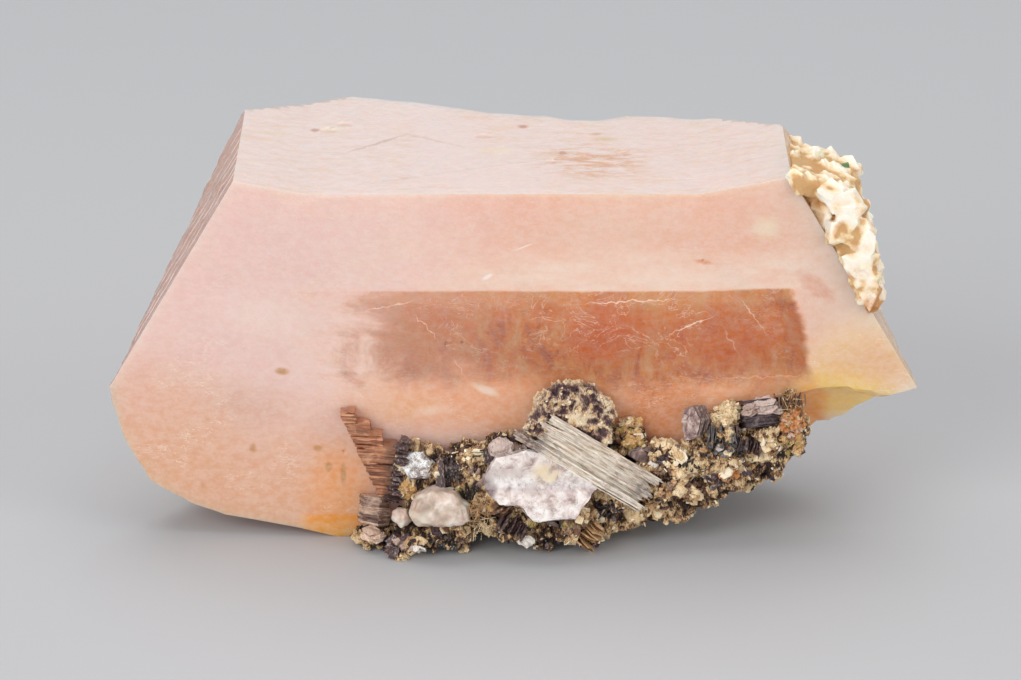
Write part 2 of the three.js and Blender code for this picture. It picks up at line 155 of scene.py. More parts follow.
world = bpy.data.worlds.new("studio")
world.use_nodes = True
world.node_tree.nodes["Background"].inputs["Color"].default_value = (0.9, 0.92, 0.95, 1)
world.node_tree.nodes["Background"].inputs["Strength"].default_value = 0.45
bpy.context.scene.world = world
bpy.context.scene.view_settings.view_transform = "Standard"

floor_mesh = bpy.data.meshes.new("floor")
floor_bm = bmesh.new()
bmesh.ops.create_circle(floor_bm, cap_ends=True, segments=64, radius=FLOOR_RADIUS)
floor_bm.to_mesh(floor_mesh)
floor_bm.free()
floor = bpy.data.objects.new("floor", floor_mesh)
bpy.context.scene.collection.objects.link(floor)
floor_paint = bpy.data.materials.new("floor_paint")
floor_paint.use_nodes = True
floor_shader = floor_paint.node_tree.nodes["Principled BSDF"]
floor_shader.inputs["Base Color"].default_value = (*FLOOR_GREY, 1)
floor_shader.inputs["Roughness"].default_value = 0.7
floor_mesh.materials.append(floor_paint)
floor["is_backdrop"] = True
print("lights:", len(bpy.data.lights))

# %% [markdown]
# ## A small kit for materials
# Every mineral here gets a material made of nodes: noise for clouds and stains, bands for growth
# zones, bump for the finest relief. Written out in full, each would be a page of links. This class
# holds one material while it is made. Each method adds one step and hands back its output, so that a
# recipe reads like a list of what is done to the stone. All sizes in it are millimetres.

# %% Material recipes


def rgb(red, green, blue):
    """A colour as a paint chart gives it, from 0 to 255, as the linear colour that shaders take."""
    parts = [c / 255 for c in (red, green, blue)]
    return (*[c / 12.92 if c <= 0.04045 else ((c + 0.055) / 1.055) ** 2.4 for c in parts], 1)


class Recipe:
    """One material while it is made. Its point is a place on the specimen, in millimetres."""

    def __init__(self, name):
        self.material = bpy.data.materials.new(name)
        self.material.use_nodes = True
        self.tree = self.material.node_tree
        self.shader = self.tree.nodes["Principled BSDF"]
        coordinates = self.add("ShaderNodeTexCoord")
        mapping = self.add("ShaderNodeMapping")
        mapping.inputs["Scale"].default_value = (1 / MM,) * 3
        mapping.inputs["Location"].default_value = -SHIFT / MM
        self.tree.links.new(coordinates.outputs["Object"], mapping.inputs["Vector"])
        self.point = mapping.outputs["Vector"]

    def add(self, kind, **settings):
        """A new node of this material."""
        node = self.tree.nodes.new(kind)
        for key, value in settings.items():
            setattr(node, key, value)
        return node

    def plug(self, socket, value):
        """Links a node's output to a socket, or sets the socket to a plain value."""
        if isinstance(value, bpy.types.NodeSocket):
            self.tree.links.new(value, socket)
        else:
            socket.default_value = value

    def math(self, operation, a, b=0.0, clamp=False):
        node = self.add("ShaderNodeMath", operation=operation, use_clamp=clamp)
        self.plug(node.inputs[0], a)
        self.plug(node.inputs[1], b)
        return node.outputs[0]

    def times(self, *factors):
        result = factors[0]
        for factor in factors[1:]:
            result = self.math("MULTIPLY", result, factor)
        return result

    def level(self, value, low, high, to_low=0.0, to_high=1.0, smooth=True):
        """The value's way from low to high, as a number from to_low to to_high."""
        node = self.add("ShaderNodeMapRange")
        node.interpolation_type = "SMOOTHSTEP" if smooth else "LINEAR"
        for name, number in zip(
            ("Value", "From Min", "From Max", "To Min", "To Max"), (value, low, high, to_low, to_high)
        ):
            self.plug(node.inputs[name], number)
        return node.outputs[0]

    def vector(self, operation, a, b=(0, 0, 0)):
        node = self.add("ShaderNodeVectorMath", operation=operation)
        self.plug(node.inputs[0], a)
        self.plug(node.inputs[1], b)
        return node.outputs["Value" if operation in ("LENGTH", "DOT_PRODUCT", "DISTANCE") else "Vector"]

    def axes(self, vector=None):
        """The x, y and z of a vector, or of the point."""
        node = self.add("ShaderNodeSeparateXYZ")
        self.plug(node.inputs[0], vector or self.point)
        return node.outputs

    def noise(self, size, detail=4.0, rough=0.55, stretch=(1, 1, 1), twist=0.0, seed=0.0, vector=None):
        """Clouds about as large as size, from 0 to 1. stretch lengthens them along an axis."""
        scaled = self.vector("MULTIPLY", vector or self.point, [1 / (size * s) for s in stretch])
        node = self.add("ShaderNodeTexNoise")
        self.plug(node.inputs["Vector"], self.vector("ADD", scaled, (seed, seed * 1.7, seed * 0.6)))
        for name, number in (("Scale", 1.0), ("Detail", detail), ("Roughness", rough), ("Distortion", twist)):
            node.inputs[name].default_value = number
        return node.outputs["Fac"]

    def veins(self, size, width, **options):
        """Thin wandering lines, 1 on the line: where a noise crosses its middle."""
        off = self.math("ABSOLUTE", self.math("SUBTRACT", self.noise(size, **options), 0.5))
        return self.level(off, width, 0.0)

    def warped(self, reach, size):
        """The point, pushed about by up to reach, so that borders wander."""
        node = self.add("ShaderNodeTexNoise")
        self.plug(node.inputs["Vector"], self.vector("MULTIPLY", self.point, (1 / size,) * 3))
        node.inputs["Scale"].default_value = 1.0
        node.inputs["Detail"].default_value = 2.0
        push = self.vector("SUBTRACT", node.outputs["Color"], (0.5, 0.5, 0.5))
        return self.vector("ADD", self.point, self.vector("MULTIPLY", push, (reach * 2,) * 3))

    def spot(self, centre, reach, soft=0.5, turn=0.0, vector=None, about=1):
        """1 inside an ellipsoid about centre, and 0 outside. A reach of 0 ignores that axis.

        turn is in degrees, about the y axis, or about z with about=2.
        """
        node = self.add("ShaderNodeMapping", vector_type="TEXTURE")
        self.plug(node.inputs["Vector"], vector or self.point)
        node.inputs["Location"].default_value = centre
        node.inputs["Rotation"].default_value[about] = math.radians(turn)
        node.inputs["Scale"].default_value = [r if r else 1e6 for r in reach]
        away = self.vector("LENGTH", node.outputs["Vector"])
        return self.level(away, 1.0 + soft, 1.0 - soft)

    def mix(self, factor, a, b, blend="MIX"):
        node = self.add("ShaderNodeMix", data_type="RGBA", blend_type=blend)
        self.plug(node.inputs[0], factor)
        self.plug(node.inputs[6], a)
        self.plug(node.inputs[7], b)
        return node.outputs[2]

    def ramp(self, value, *stops, steps=False):
        """A colour for a value from 0 to 1. Each stop is a position and its colour."""
        node = self.add("ShaderNodeValToRGB")
        if steps:
            node.color_ramp.interpolation = "CONSTANT"
        elements = node.color_ramp.elements
        while len(elements) < len(stops):
            elements.new(0.5)
        for element, (where, colour) in zip(elements, stops):
            element.position = where
            element.color = colour
        self.plug(node.inputs[0], value)
        return node.outputs[0]

    def attribute(self, name):
        """A number that the mesh keeps for each face or point."""
        return self.add("ShaderNodeAttribute", attribute_name=name).outputs["Fac"]

    def bump(self, height, depth, after=None):
        """Relief too fine for the mesh. depth is in millimetres for a height of 1."""
        node = self.add("ShaderNodeBump")
        node.inputs["Distance"].default_value = depth * MM
        self.plug(node.inputs["Height"], height)
        if after is not None:
            self.plug(node.inputs["Normal"], after)
        return node.outputs[0]

    def finish(self, **sockets):
        """Plugs the results into the shader. An underscore in a name stands for a space."""
        for name, value in sockets.items():
            self.plug(self.shader.inputs[name.replace("_", " ")], value)
        return self.material


print("recipe kit ready")

# %% [markdown]
# ## A small kit for pieces
# A finished piece replaces one or more solids of the model, keeps their place, and rides on the
# model's one body. Its object sits at the origin with its place in its mesh, as the solids have it.
# A solid's mesh comes as loose triangles, so a copy of it is merged first.

# %% Piece helpers


def cad_copy(node):
    """A working copy of a solid's mesh, with its corners merged."""
    bm = bmesh.new()
    bm.from_mesh(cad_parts[node].data)
    bmesh.ops.remove_doubles(bm, verts=bm.verts, dist=0.002 * MM)
    return bm


def new_piece(name, bm, material, slot, *nodes, smooth_angle=None, tints=None, tinted="FACE"):
    """Makes an object of a finished bmesh. It stands for the given solids, if any.

    tints gives a number for each face, or for each point when tinted is POINT.
    """
    mesh = bpy.data.meshes.new(name)
    bm.to_mesh(mesh)
    bm.free()
    mesh.materials.append(material)
    if tints:
        mesh.attributes.new("tint", "FLOAT", tinted).data.foreach_set("value", tints)
    piece = bpy.data.objects.new(name, mesh)
    bpy.context.scene.collection.objects.link(piece)
    if smooth_angle is not None:
        mesh.shade_smooth()
        mesh.set_sharp_from_angle(angle=math.radians(smooth_angle))
    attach(piece, "root")
    if nodes:
        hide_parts(*nodes)
    mesh.calc_loop_triangles()
    print(f"{name}: {len(mesh.loop_triangles)} triangles")
    return piece


def add_part(target, part, tints=None, tint=0):
    """Adds one bmesh to another, notes a tint for each of its faces in tints, and frees it."""
    if tints is not None:
        tints.extend([tint] * len(part.faces))
    mesh = bpy.data.meshes.new("part")
    part.to_mesh(mesh)
    part.free()
    target.from_mesh(mesh)
    bpy.data.meshes.remove(mesh)


print("piece kit ready")

# %% [markdown]
# ## Cutting and remeshing
# Most pieces start from a solid's few large faces, which can't take a fine relief. Two ways make
# smaller faces: cuts along planes keep the sharp edges, as a crystal needs, and a voxel remesh makes
# one even skin of any heap of shapes, as a rough aggregate needs.

# %% Cutting helpers


def all_geometry(bm):
    """All that a cut has to look at."""
    return [*bm.verts, *bm.edges, *bm.faces]


def cut_away(bm, point, outward):
    """Cuts off what lies beyond a plane, and closes the cut."""
    cut = bmesh.ops.bisect_plane(
        bm, geom=all_geometry(bm), dist=0.001 * MM, plane_co=point, plane_no=outward, clear_outer=True
    )
    edges = [e for e in cut["geom_cut"] if isinstance(e, bmesh.types.BMEdge) and e.is_boundary]
    bmesh.ops.holes_fill(bm, edges=edges, sides=0)


def lattice_cut(bm, direction, spacing):
    """Cuts every face along planes square to the direction, so that it can take a relief."""
    along = [v.co.dot(direction) for v in bm.verts]
    where = min(along) + spacing * 0.5
    while where < max(along):
        bmesh.ops.bisect_plane(
            bm, geom=all_geometry(bm), dist=0.01 * MM, plane_co=direction * where, plane_no=direction
        )
        where += spacing


def remeshed(bm, cell):
    """The same shape as one even mesh of small square faces, cell metres across."""
    mesh = bpy.data.meshes.new("raw")
    bm.to_mesh(mesh)
    bm.free()
    raw = bpy.data.objects.new("raw", mesh)
    bpy.context.scene.collection.objects.link(raw)
    modifier = raw.modifiers.new("even", "REMESH")
    modifier.mode = "VOXEL"
    modifier.voxel_size = cell
    even = bmesh.new()
    even.from_object(raw, bpy.context.evaluated_depsgraph_get())
    bpy.data.objects.remove(raw)
    bpy.data.meshes.remove(mesh)
    return even


def smoothed(bm):
    """Moves every point halfway to the middle of its neighbours."""
    bmesh.ops.smooth_vert(
        bm, verts=bm.verts, factor=0.5, use_axis_x=True, use_axis_y=True, use_axis_z=True
    )


def turn_matrix(turn_x, turn_y, turn_z):
    """Turns about x, then y, then z, in degrees, as one matrix."""
    turns = [Matrix.Rotation(math.radians(t), 4, a) for t, a in ((turn_z, "Z"), (turn_y, "Y"), (turn_x, "X"))]
    return turns[0] @ turns[1] @ turns[2]


def rough(point, size, octaves=4, seed=0.0):
    """Fractal noise at a model point, about -1 to 1. size is in millimetres."""
    spot = point / (size * MM) + Vector((seed, seed * 1.3, -seed))
    return noise.fractal(spot, 0.9, 2.1, octaves)


print("cutting kit ready")

# %% [markdown]
# ## The crystal's shape
# Beryl grows as a six-sided prism. The solid model has its true faces, so the piece starts from
# them, and two rear corners of the top face are chipped off. What the solid lacks is the fine
# relief: crystal faces are almost flat but never quite, the left side face is striped with growth
# steps, and the broken back and foot are shell-like fractures with small ridges. So every face is
# cut into a lattice that can take a relief, and each point is then moved along its normal, by hardly
# anything on a crystal face and by more on a break. The edges between true faces stay crisp because
# both their faces barely move. A break's relief only starts below the small etch pits, and the pits
# in the top face are made shallower, as true ones are, so that they don't catch the light.

# %% Crystal mesh
LATTICE = 1.5  # spacing of the cuts
BREAK_RELIEF = 0.55
FACE_RELIEF = 0.035
STEP_RELIEF = 0.06  # of the growth steps on the left side face
RELIEF_STARTS = 0.8  # a break's relief starts this far below the front and top faces
RELIEF_GROWS = 1.5  # and is full after this much more
CHIPPED = [  # the rear corners of the top face: a point of each break, and the way it faces
    ((50.8, 31, 69.2), Vector((0.30, 0.58, 0.76))),
    ((-47.0, 41.4, 69.4), Vector((-0.30, 0.58, 0.76))),
]
TOP_PITS = [(-34, 33), (-31, 36), (-5, 30), (8, 17), (13, 19), (18, 16), (21, 21)]  # their x and y
PIT_REACH = 3
PIT_SHARE = 0.25  # how much of their depth is left
TOP_HEIGHT = 67.4  # of the top face's middle part at its front edge
TOP_SLOPE = 0.026  # the top face rises towards the back by this share
FRONT_SLOPE = 0.02  # the front face leans back by this share of its height
LEFT_NORMAL = Vector((-math.sin(math.radians(60)), 0, math.cos(math.radians(60))))
RIGHT_NORMAL = Vector((-LEFT_NORMAL.x, 0, LEFT_NORMAL.z))
TRUE_FACES = [  # the ways that the front, the top and the two side faces look
    Vector((0, -1, FRONT_SLOPE)), Vector((0.087, -1, FRONT_SLOPE)), Vector((-0.087, -1, FRONT_SLOPE)),
    Vector((0, -TOP_SLOPE, 1)), Vector((0.16, 0, 1)), Vector((-0.16, 0, 1)),
    LEFT_NORMAL, RIGHT_NORMAL,
]


def depth_below_faces(spot):
    """How far a place in the crystal is from its front and top faces, in millimetres."""
    return min(spot.y - spot.z * FRONT_SLOPE, TOP_HEIGHT + spot.y * TOP_SLOPE - spot.z)


def crystal_mesh():
    """The solid crystal with chipped corners and a relief on each kind of face."""
    bm = cad_copy("morganite_crystal")
    for point, outward in CHIPPED:
        cut_away(bm, place(*point), outward.normalized())
    for axis in (Vector((1, 0, 0)), Vector((0, 1, 0)), Vector((0, 0, 1))):
        lattice_cut(bm, axis, LATTICE * MM)
    bm.normal_update()
    true_normals = [n.normalized() for n in TRUE_FACES]
    moves = {}
    for vert in bm.verts:
        broken = 0
        for face in vert.link_faces:
            if max(face.normal.dot(n) for n in true_normals) < 0.997:
                broken += 1
        spot = on_specimen(vert.co)
        growth = (depth_below_faces(spot) - RELIEF_STARTS) / RELIEF_GROWS
        share = broken / len(vert.link_faces) * min(1, max(0, growth))
        relief = FACE_RELIEF * rough(vert.co, 9, 3)
        if share > 0:
            ridges = 1 - 2 * abs(rough(vert.co, 11, 3, seed=3.0))
            relief += share * BREAK_RELIEF * (0.6 * ridges + 0.7 * rough(vert.co, 4.5, 4, seed=8.0))
        elif vert.normal.dot(LEFT_NORMAL) > 0.98:
            steps = noise.noise(Vector((spot.y * 1.1, spot.z * 0.02, 4.0)))
            relief += STEP_RELIEF * steps
        moves[vert] = vert.normal * relief * MM
        sunk = TOP_HEIGHT + spot.y * TOP_SLOPE - spot.z
        if 0 < sunk < 1 and min((spot.xy - Vector(pit)).length for pit in TOP_PITS) < PIT_REACH:
            moves[vert].z += sunk * (1 - PIT_SHARE) * MM
    for vert, move in moves.items():
        vert.co += move
        vert.co.z = max(vert.co.z, 0)
    return bm


crystal_bm = crystal_mesh()
print("crystal faces:", len(crystal_bm.faces))

# %% [markdown]
# ## The crystal's material
# Morganite is clear where it grew slowly and milky where it trapped fine bubbles and cracks. Here
# the core is a clear orange-brown window under a milky pale band, and the rim is peach to pink. Growth
# zones run straight through the crystal, from the front face to the back, so the colours depend on
# x and z and hardly on y, and the back shows the same zones.
#
# The shader is one Principled shader. Its transmission rises in the core and falls in the milky
# rim, subsurface light makes the milk glow, and the volume absorbs blue and green, so that thick
# parts turn orange. Stains, pits and healed cracks are spots and veins of colour on top, and some
# spots are painted light: a small white glint, and a brighter yellow on the break that looks down
# at the lower right.

# %% Crystal colours
PEACH = rgb(238, 190, 165)
PINK = rgb(239, 204, 195)
MILK = rgb(240, 212, 193)
ROSE = rgb(236, 192, 182)
HONEY = rgb(230, 174, 134)
BAND = rgb(244, 217, 199)
CORE = rgb(252, 150, 48)
CORE_LIGHT = rgb(255, 190, 122)
CORE_PINK = rgb(255, 166, 124)
CORE_DARK = rgb(196, 94, 40)
CORE_DEEP = rgb(244, 116, 0)
FOOT = rgb(240, 170, 120)
VEIL = rgb(255, 226, 204)
AMBER = rgb(252, 164, 62)
# The yellow of the lower right break: partly its own colour, partly painted light on a face that looks down.
YELLOW_WITH_PAINTED_LIGHT = rgb(255, 208, 106)
FROST = rgb(243, 227, 223)
STAIN = rgb(226, 178, 140)
PIT = rgb(200, 144, 70)
CREAM = rgb(244, 232, 200)

CORE_EMBERS = [  # deep orange clouds in the core: centre, reach, strength
    ((17, 0, 41), (7, 0, 5.6), 1.0),
    ((39, 0, 40), (14, 0, 5), 0.7),
    ((-15, 0, 44), (7, 0, 3), 0.5),
    ((5, 0, 45), (8, 0, 2.4), 0.4),
]
CORE_THREADS = [  # single healed cracks: centre, half length, turn
    ((-15.5, 0, 41.7), 3.4, 50),
    ((-9.3, 0, 33.5), 2.7, 57),
    ((44.5, 0, 43.4), 4.0, 54),
    ((33, 0, 42), 4.6, -24),
    ((40.5, 0, 38.6), 3.0, 62),
    ((-22, 0, 45.8), 5.2, -12),
    ((22, 0, 46.6), 9.5, -3),
    ((46.5, 0, 31.4), 8.5, 0),
]
FRONT_SPOTS = [  # tint, centre, reach, softness, turn, strength
    (FOOT, (18, 0, 27), (42, 0, 8), 0.4, 0, 0.85),
    (AMBER, (-31, 0, 9), (6, 0, 9), 0.7, 0, 0.6),
    # The two yellow spots below are partly painted light on the downward-facing break.
    (YELLOW_WITH_PAINTED_LIGHT, (60, 0, 27), (10, 0, 5), 0.5, 0, 0.9),
    (AMBER, (55, 0, 24), (4.2, 0, 6), 0.4, 0, 0.95),
    (YELLOW_WITH_PAINTED_LIGHT, (64, 0, 33), (9, 0, 7), 0.8, 0, 0.5),
    (rgb(226, 178, 136), (68, 0, 33.4), (8, 0, 4), 0.7, 0, 0.6),
    (rgb(216, 130, 60), (27, 0, 25), (6, 0, 7), 0.6, 0, 0.8),
    (rgb(255, 240, 230), (-4.2, 0, 51.4), (1.1, 2, 0.4), 0.4, -30, 0.9),
    (rgb(255, 240, 230), (2.4, 0, 57.2), (2.1, 2, 0.14), 0.5, -22, 0.7),
    (rgb(255, 236, 214), (-14.6, 0, 25.2), (2.6, 2, 0.9), 0.9, -10, 0.5),
    (rgb(255, 244, 234), (66.4, 0, 35.8), (0.5, 2, 0.4), 0.5, 0, 0.9),
    (rgb(240, 180, 110), (-22, 0, 27), (7, 0, 4), 0.8, 0, 0.35),
    (rgb(216, 168, 144), (-48, 0, 26), (6.5, 0, 4), 0.9, 0, 0.45),
    (rgb(248, 226, 216), (-46, 0, 44), (8, 0, 3.4), 0.9, 10, 0.45),
    (rgb(250, 230, 218), (-29, 0, 36), (7, 0, 8), 0.8, 0, 0.45),
    (rgb(226, 166, 138), (55.8, 0, 48.8), (4.2, 0, 1.5), 0.4, 40, 0.55),
    (CREAM, (46.6, 0, 60.5), (2.8, 3, 2.4), 0.5, 0, 0.7),
    (rgb(225, 150, 96), (35, 0, 54.3), (1.7, 2, 0.5), 0.5, 10, 0.8),
    # This small white spot is a painted glint.
    (rgb(255, 240, 226), (-8.6, 0, 38.6), (1.0, 2, 0.9), 0.5, 0, 0.9),
    (rgb(120, 80, 60), (-11.8, 0, 38.4), (0.7, 2, 0.6), 0.5, 0, 0.8),
    (rgb(250, 232, 214), (-4.7, 0, 29.4), (2.4, 2, 0.8), 0.5, 25, 0.8),
    (PIT, (-47.6, 0, 17.4), (0.7, 2, 0.9), 0.5, 0, 0.9),
    (PIT, (-42, 0, 32.8), (1.3, 2, 0.7), 0.5, 0, 0.9),
    (PIT, (-56, 0, 23), (0.6, 2, 0.8), 0.5, 0, 0.6),
    (PIT, (-57, 0, 9.6), (0.6, 2, 0.6), 0.5, 0, 0.8),
    (PIT, (-33.6, 0, 14), (0.6, 2, 0.9), 0.5, 0, 0.8),
    (PIT, (-30.9, 0, 12.6), (0.5, 2, 2.0), 0.5, 0, 0.8),
    (PIT, (-35.6, 0, 17.7), (0.8, 2, 0.6), 0.5, 0, 0.7),
]

TOP_SPOTS = [  # on the top face: tint, centre, reach, turn, strength
    (rgb(206, 170, 152), (-24.8, 26.2, 0), (7.0, 0.42, 0), 41, 0.6),
    (rgb(214, 182, 164), (-14.4, 28.0, 0), (6.0, 0.36, 0), -31, 0.5),
    (rgb(250, 232, 196), (-2.6, 22.5, 0), (3.2, 1.2, 0), 0, 0.6),
    (rgb(222, 196, 150), (17.4, 28.4, 0), (2.4, 1.0, 0), 0, 0.7),
    (rgb(250, 236, 212), (-32.8, 34.0, 0), (3.6, 1.0, 0), 8, 0.6),
    (rgb(240, 222, 190), (-45.0, 28.6, 0), (3.0, 0.8, 0), 5, 0.5),
    (rgb(190, 128, 92), (-36.5, 33.0, 0), (0.8, 0.8, 0), 0, 0.85),
    (rgb(190, 128, 92), (2.3, 35.0, 0), (0.9, 0.8, 0), 0, 0.85),
    (rgb(190, 128, 92), (9.6, 21.4, 0), (0.6, 0.8, 0), 0, 0.8),
    (rgb(206, 150, 118), (15.9, 31.0, 0), (1.0, 0.6, 0), 20, 0.6),
    (rgb(255, 244, 236), (32.0, 9.0, 0), (8.0, 0.2, 0), 4, 0.5),
    (rgb(255, 244, 236), (-40.0, 12.0, 0), (9.0, 0.2, 0), -6, 0.45),
]

print(len(FRONT_SPOTS), "spots on the front,", len(TOP_SPOTS), "on the top face")

# %% [markdown]
# ## Rim and core
# The rim's colour changes slowly from left to right, so it is mixed by how far along x a point is,
# and a pale band lies over the core. The core has a crisp upper border, where growth turned milky
# all at once, and a left end that is lost in wisps. The healed cracks in it are thin lines on a
# warped point, so that none of them is straight.

# %% Rim and core colours


def rim_colours(stone, x, z, clouds, wisps, warped):
    """Pink on the left, peach in the middle, milky on the right, honey at the low left."""
    colour = stone.mix(stone.level(x, -30, 12), PINK, PEACH)
    colour = stone.mix(stone.level(x, 46, 66), colour, MILK)
    colour = stone.mix(stone.times(stone.level(clouds, 0.4, 0.7), 0.5), colour, MILK)
    colour = stone.mix(stone.times(stone.level(wisps, 0.5, 0.75), 0.35), colour, ROSE)
    low_left = stone.times(stone.level(z, 34, 10), stone.level(x, -18, -34))
    colour = stone.mix(stone.times(low_left, 0.85), colour, HONEY)
    left_corner = stone.spot((-66, 0, 22), (14, 0, 12), 0.6, vector=warped)
    colour = stone.mix(stone.times(left_corner, 0.5), colour, HONEY)
    band = stone.times(
        stone.level(z, 58, 52), stone.level(z, 47, 49), stone.level(x, -22, 6), stone.level(x, 62, 50)
    )
    streaks = stone.noise(2.2, detail=3, rough=0.6, stretch=(5, 5, 1), seed=71)
    return stone.mix(stone.times(band, stone.level(streaks, 0.3, 0.65, 0.4, 1)), colour, BAND)


def core_extent(stone, x, z, wisps):
    """1 in the clear core: a crisp top, a slanting right end, and a left end lost in wisps."""
    fine_x, _, fine_z = stone.axes()
    stray = stone.math("SUBTRACT", wisps, 0.5)
    slanted = stone.math("ADD", fine_x, stone.times(stone.math("SUBTRACT", fine_z, 48.8), 0.23))
    right_end = stone.level(stone.math("ADD", slanted, stone.times(stray, 5)), 52.5, 50.5)
    crisp_top = stone.level(stone.math("ADD", fine_z, stone.times(wisps, 0.8)), 49.3, 48.7)
    left_end = stone.level(stone.math("ADD", x, stone.times(stray, 36)), -39, -16)
    bottom = stone.level(stone.math("ADD", z, stone.times(stray, 10)), 26, 36)
    return stone.times(crisp_top, left_end, bottom, right_end)


def core_colours(stone, x, clouds, wisps, warped, jagged):
    """The core's colour, and how milky its veils and threads make it."""
    _, _, fine_z = stone.axes()
    mottled = stone.noise(4.5, detail=3, rough=0.68, twist=0.7, stretch=(0.8, 3, 1.6), seed=17)
    colour = stone.ramp(mottled, (0.34, CORE_DARK), (0.48, CORE), (0.62, CORE_LIGHT))
    sill = stone.level(stone.math("ADD", fine_z, stone.times(wisps, 7.0)), 48.0, 50.2)
    colour = stone.mix(stone.times(sill, 0.45), colour, CORE_LIGHT)
    colour = stone.mix(stone.level(x, 12, -16, 0, 0.6), colour, CORE_PINK)
    for spot, reach, strength in CORE_EMBERS:
        ember = stone.spot(spot, reach, 0.7, vector=warped)
        colour = stone.mix(stone.times(ember, strength), colour, CORE_DEEP)
    lace = stone.veins(5.5, 0.022, detail=4, rough=0.65, twist=0.9, stretch=(1.3, 3, 1), seed=11)
    milk = stone.times(lace, stone.level(clouds, 0.36, 0.56), 0.5)
    smoke = stone.level(stone.noise(4, detail=3, rough=0.7, seed=21, vector=jagged), 0.54, 0.8)
    milk = stone.math("MAXIMUM", milk, stone.times(smoke, 0.4))
    milk = stone.math("MAXIMUM", milk, stone.level(x, 10, -18, 0, 0.24))
    for centre, half, turn in CORE_THREADS:
        thread = stone.spot(centre, (half, 0, 0.13), 0.7, turn, vector=jagged)
        milk = stone.math("MAXIMUM", milk, stone.times(thread, stone.level(clouds, 0.4, 0.55, 0.45, 0.8)))
    return stone.mix(milk, colour, VEIL), stone.math("MAXIMUM", milk, stone.times(sill, 0.35))


print("rim and core recipes ready")

# %% [markdown]
# ## The top face
# Etching has frosted the top face, so it is paler than the front. It has fine streaks along its
# length, cream patches, brown iron spots, a soft brown stain right of its middle and a thin bent
# crack in its left half. What lies deeper than the face, as the etch pits do, is stained too.

# %% Top face colours


def top_colours(stone, clouds, jagged):
    """The frosted top face, with streaks, a thin crack, brown spots and a brown stain."""
    streaks = stone.noise(2, detail=5, rough=0.72, stretch=(3, 0.8, 1), seed=31)
    streaked = stone.times(stone.level(streaks, 0.4, 0.7), stone.level(clouds, 0.35, 0.6))
    frosted = stone.mix(streaked, FROST, MILK)
    stain = stone.spot((15, 17.5, 0), (9, 8, 0), 0.5, vector=jagged)
    frosted = stone.mix(stone.times(stain, stone.level(streaks, 0.4, 0.58), 0.85), frosted, STAIN)
    _, y, z = stone.axes()
    flat_height = stone.math("SUBTRACT", z, stone.times(y, TOP_SLOPE))
    sunk = stone.level(flat_height, TOP_HEIGHT - 0.03, TOP_HEIGHT - 0.12)
    frosted = stone.mix(stone.times(sunk, stone.level(streaks, 0.35, 0.6, 0.1, 0.6)), frosted, STAIN)
    for tint, centre, reach, turn, strength in TOP_SPOTS:
        wandering = jagged if max(reach) > 3 else None
        spot = stone.spot(centre, reach, 0.6, turn, vector=wandering, about=2)
        frosted = stone.mix(stone.times(spot, strength), frosted, tint)
    return frosted


print("top face recipe ready")

# %% [markdown]
# ## One material for all faces
# The faces of a crystal differ in finish but are one stone, so one material serves them all. The way
# that a surface looks picks its finish: up for the frosted top face, and sixty degrees from upright
# for the two side faces, which are striped by growth.

# %% Crystal material


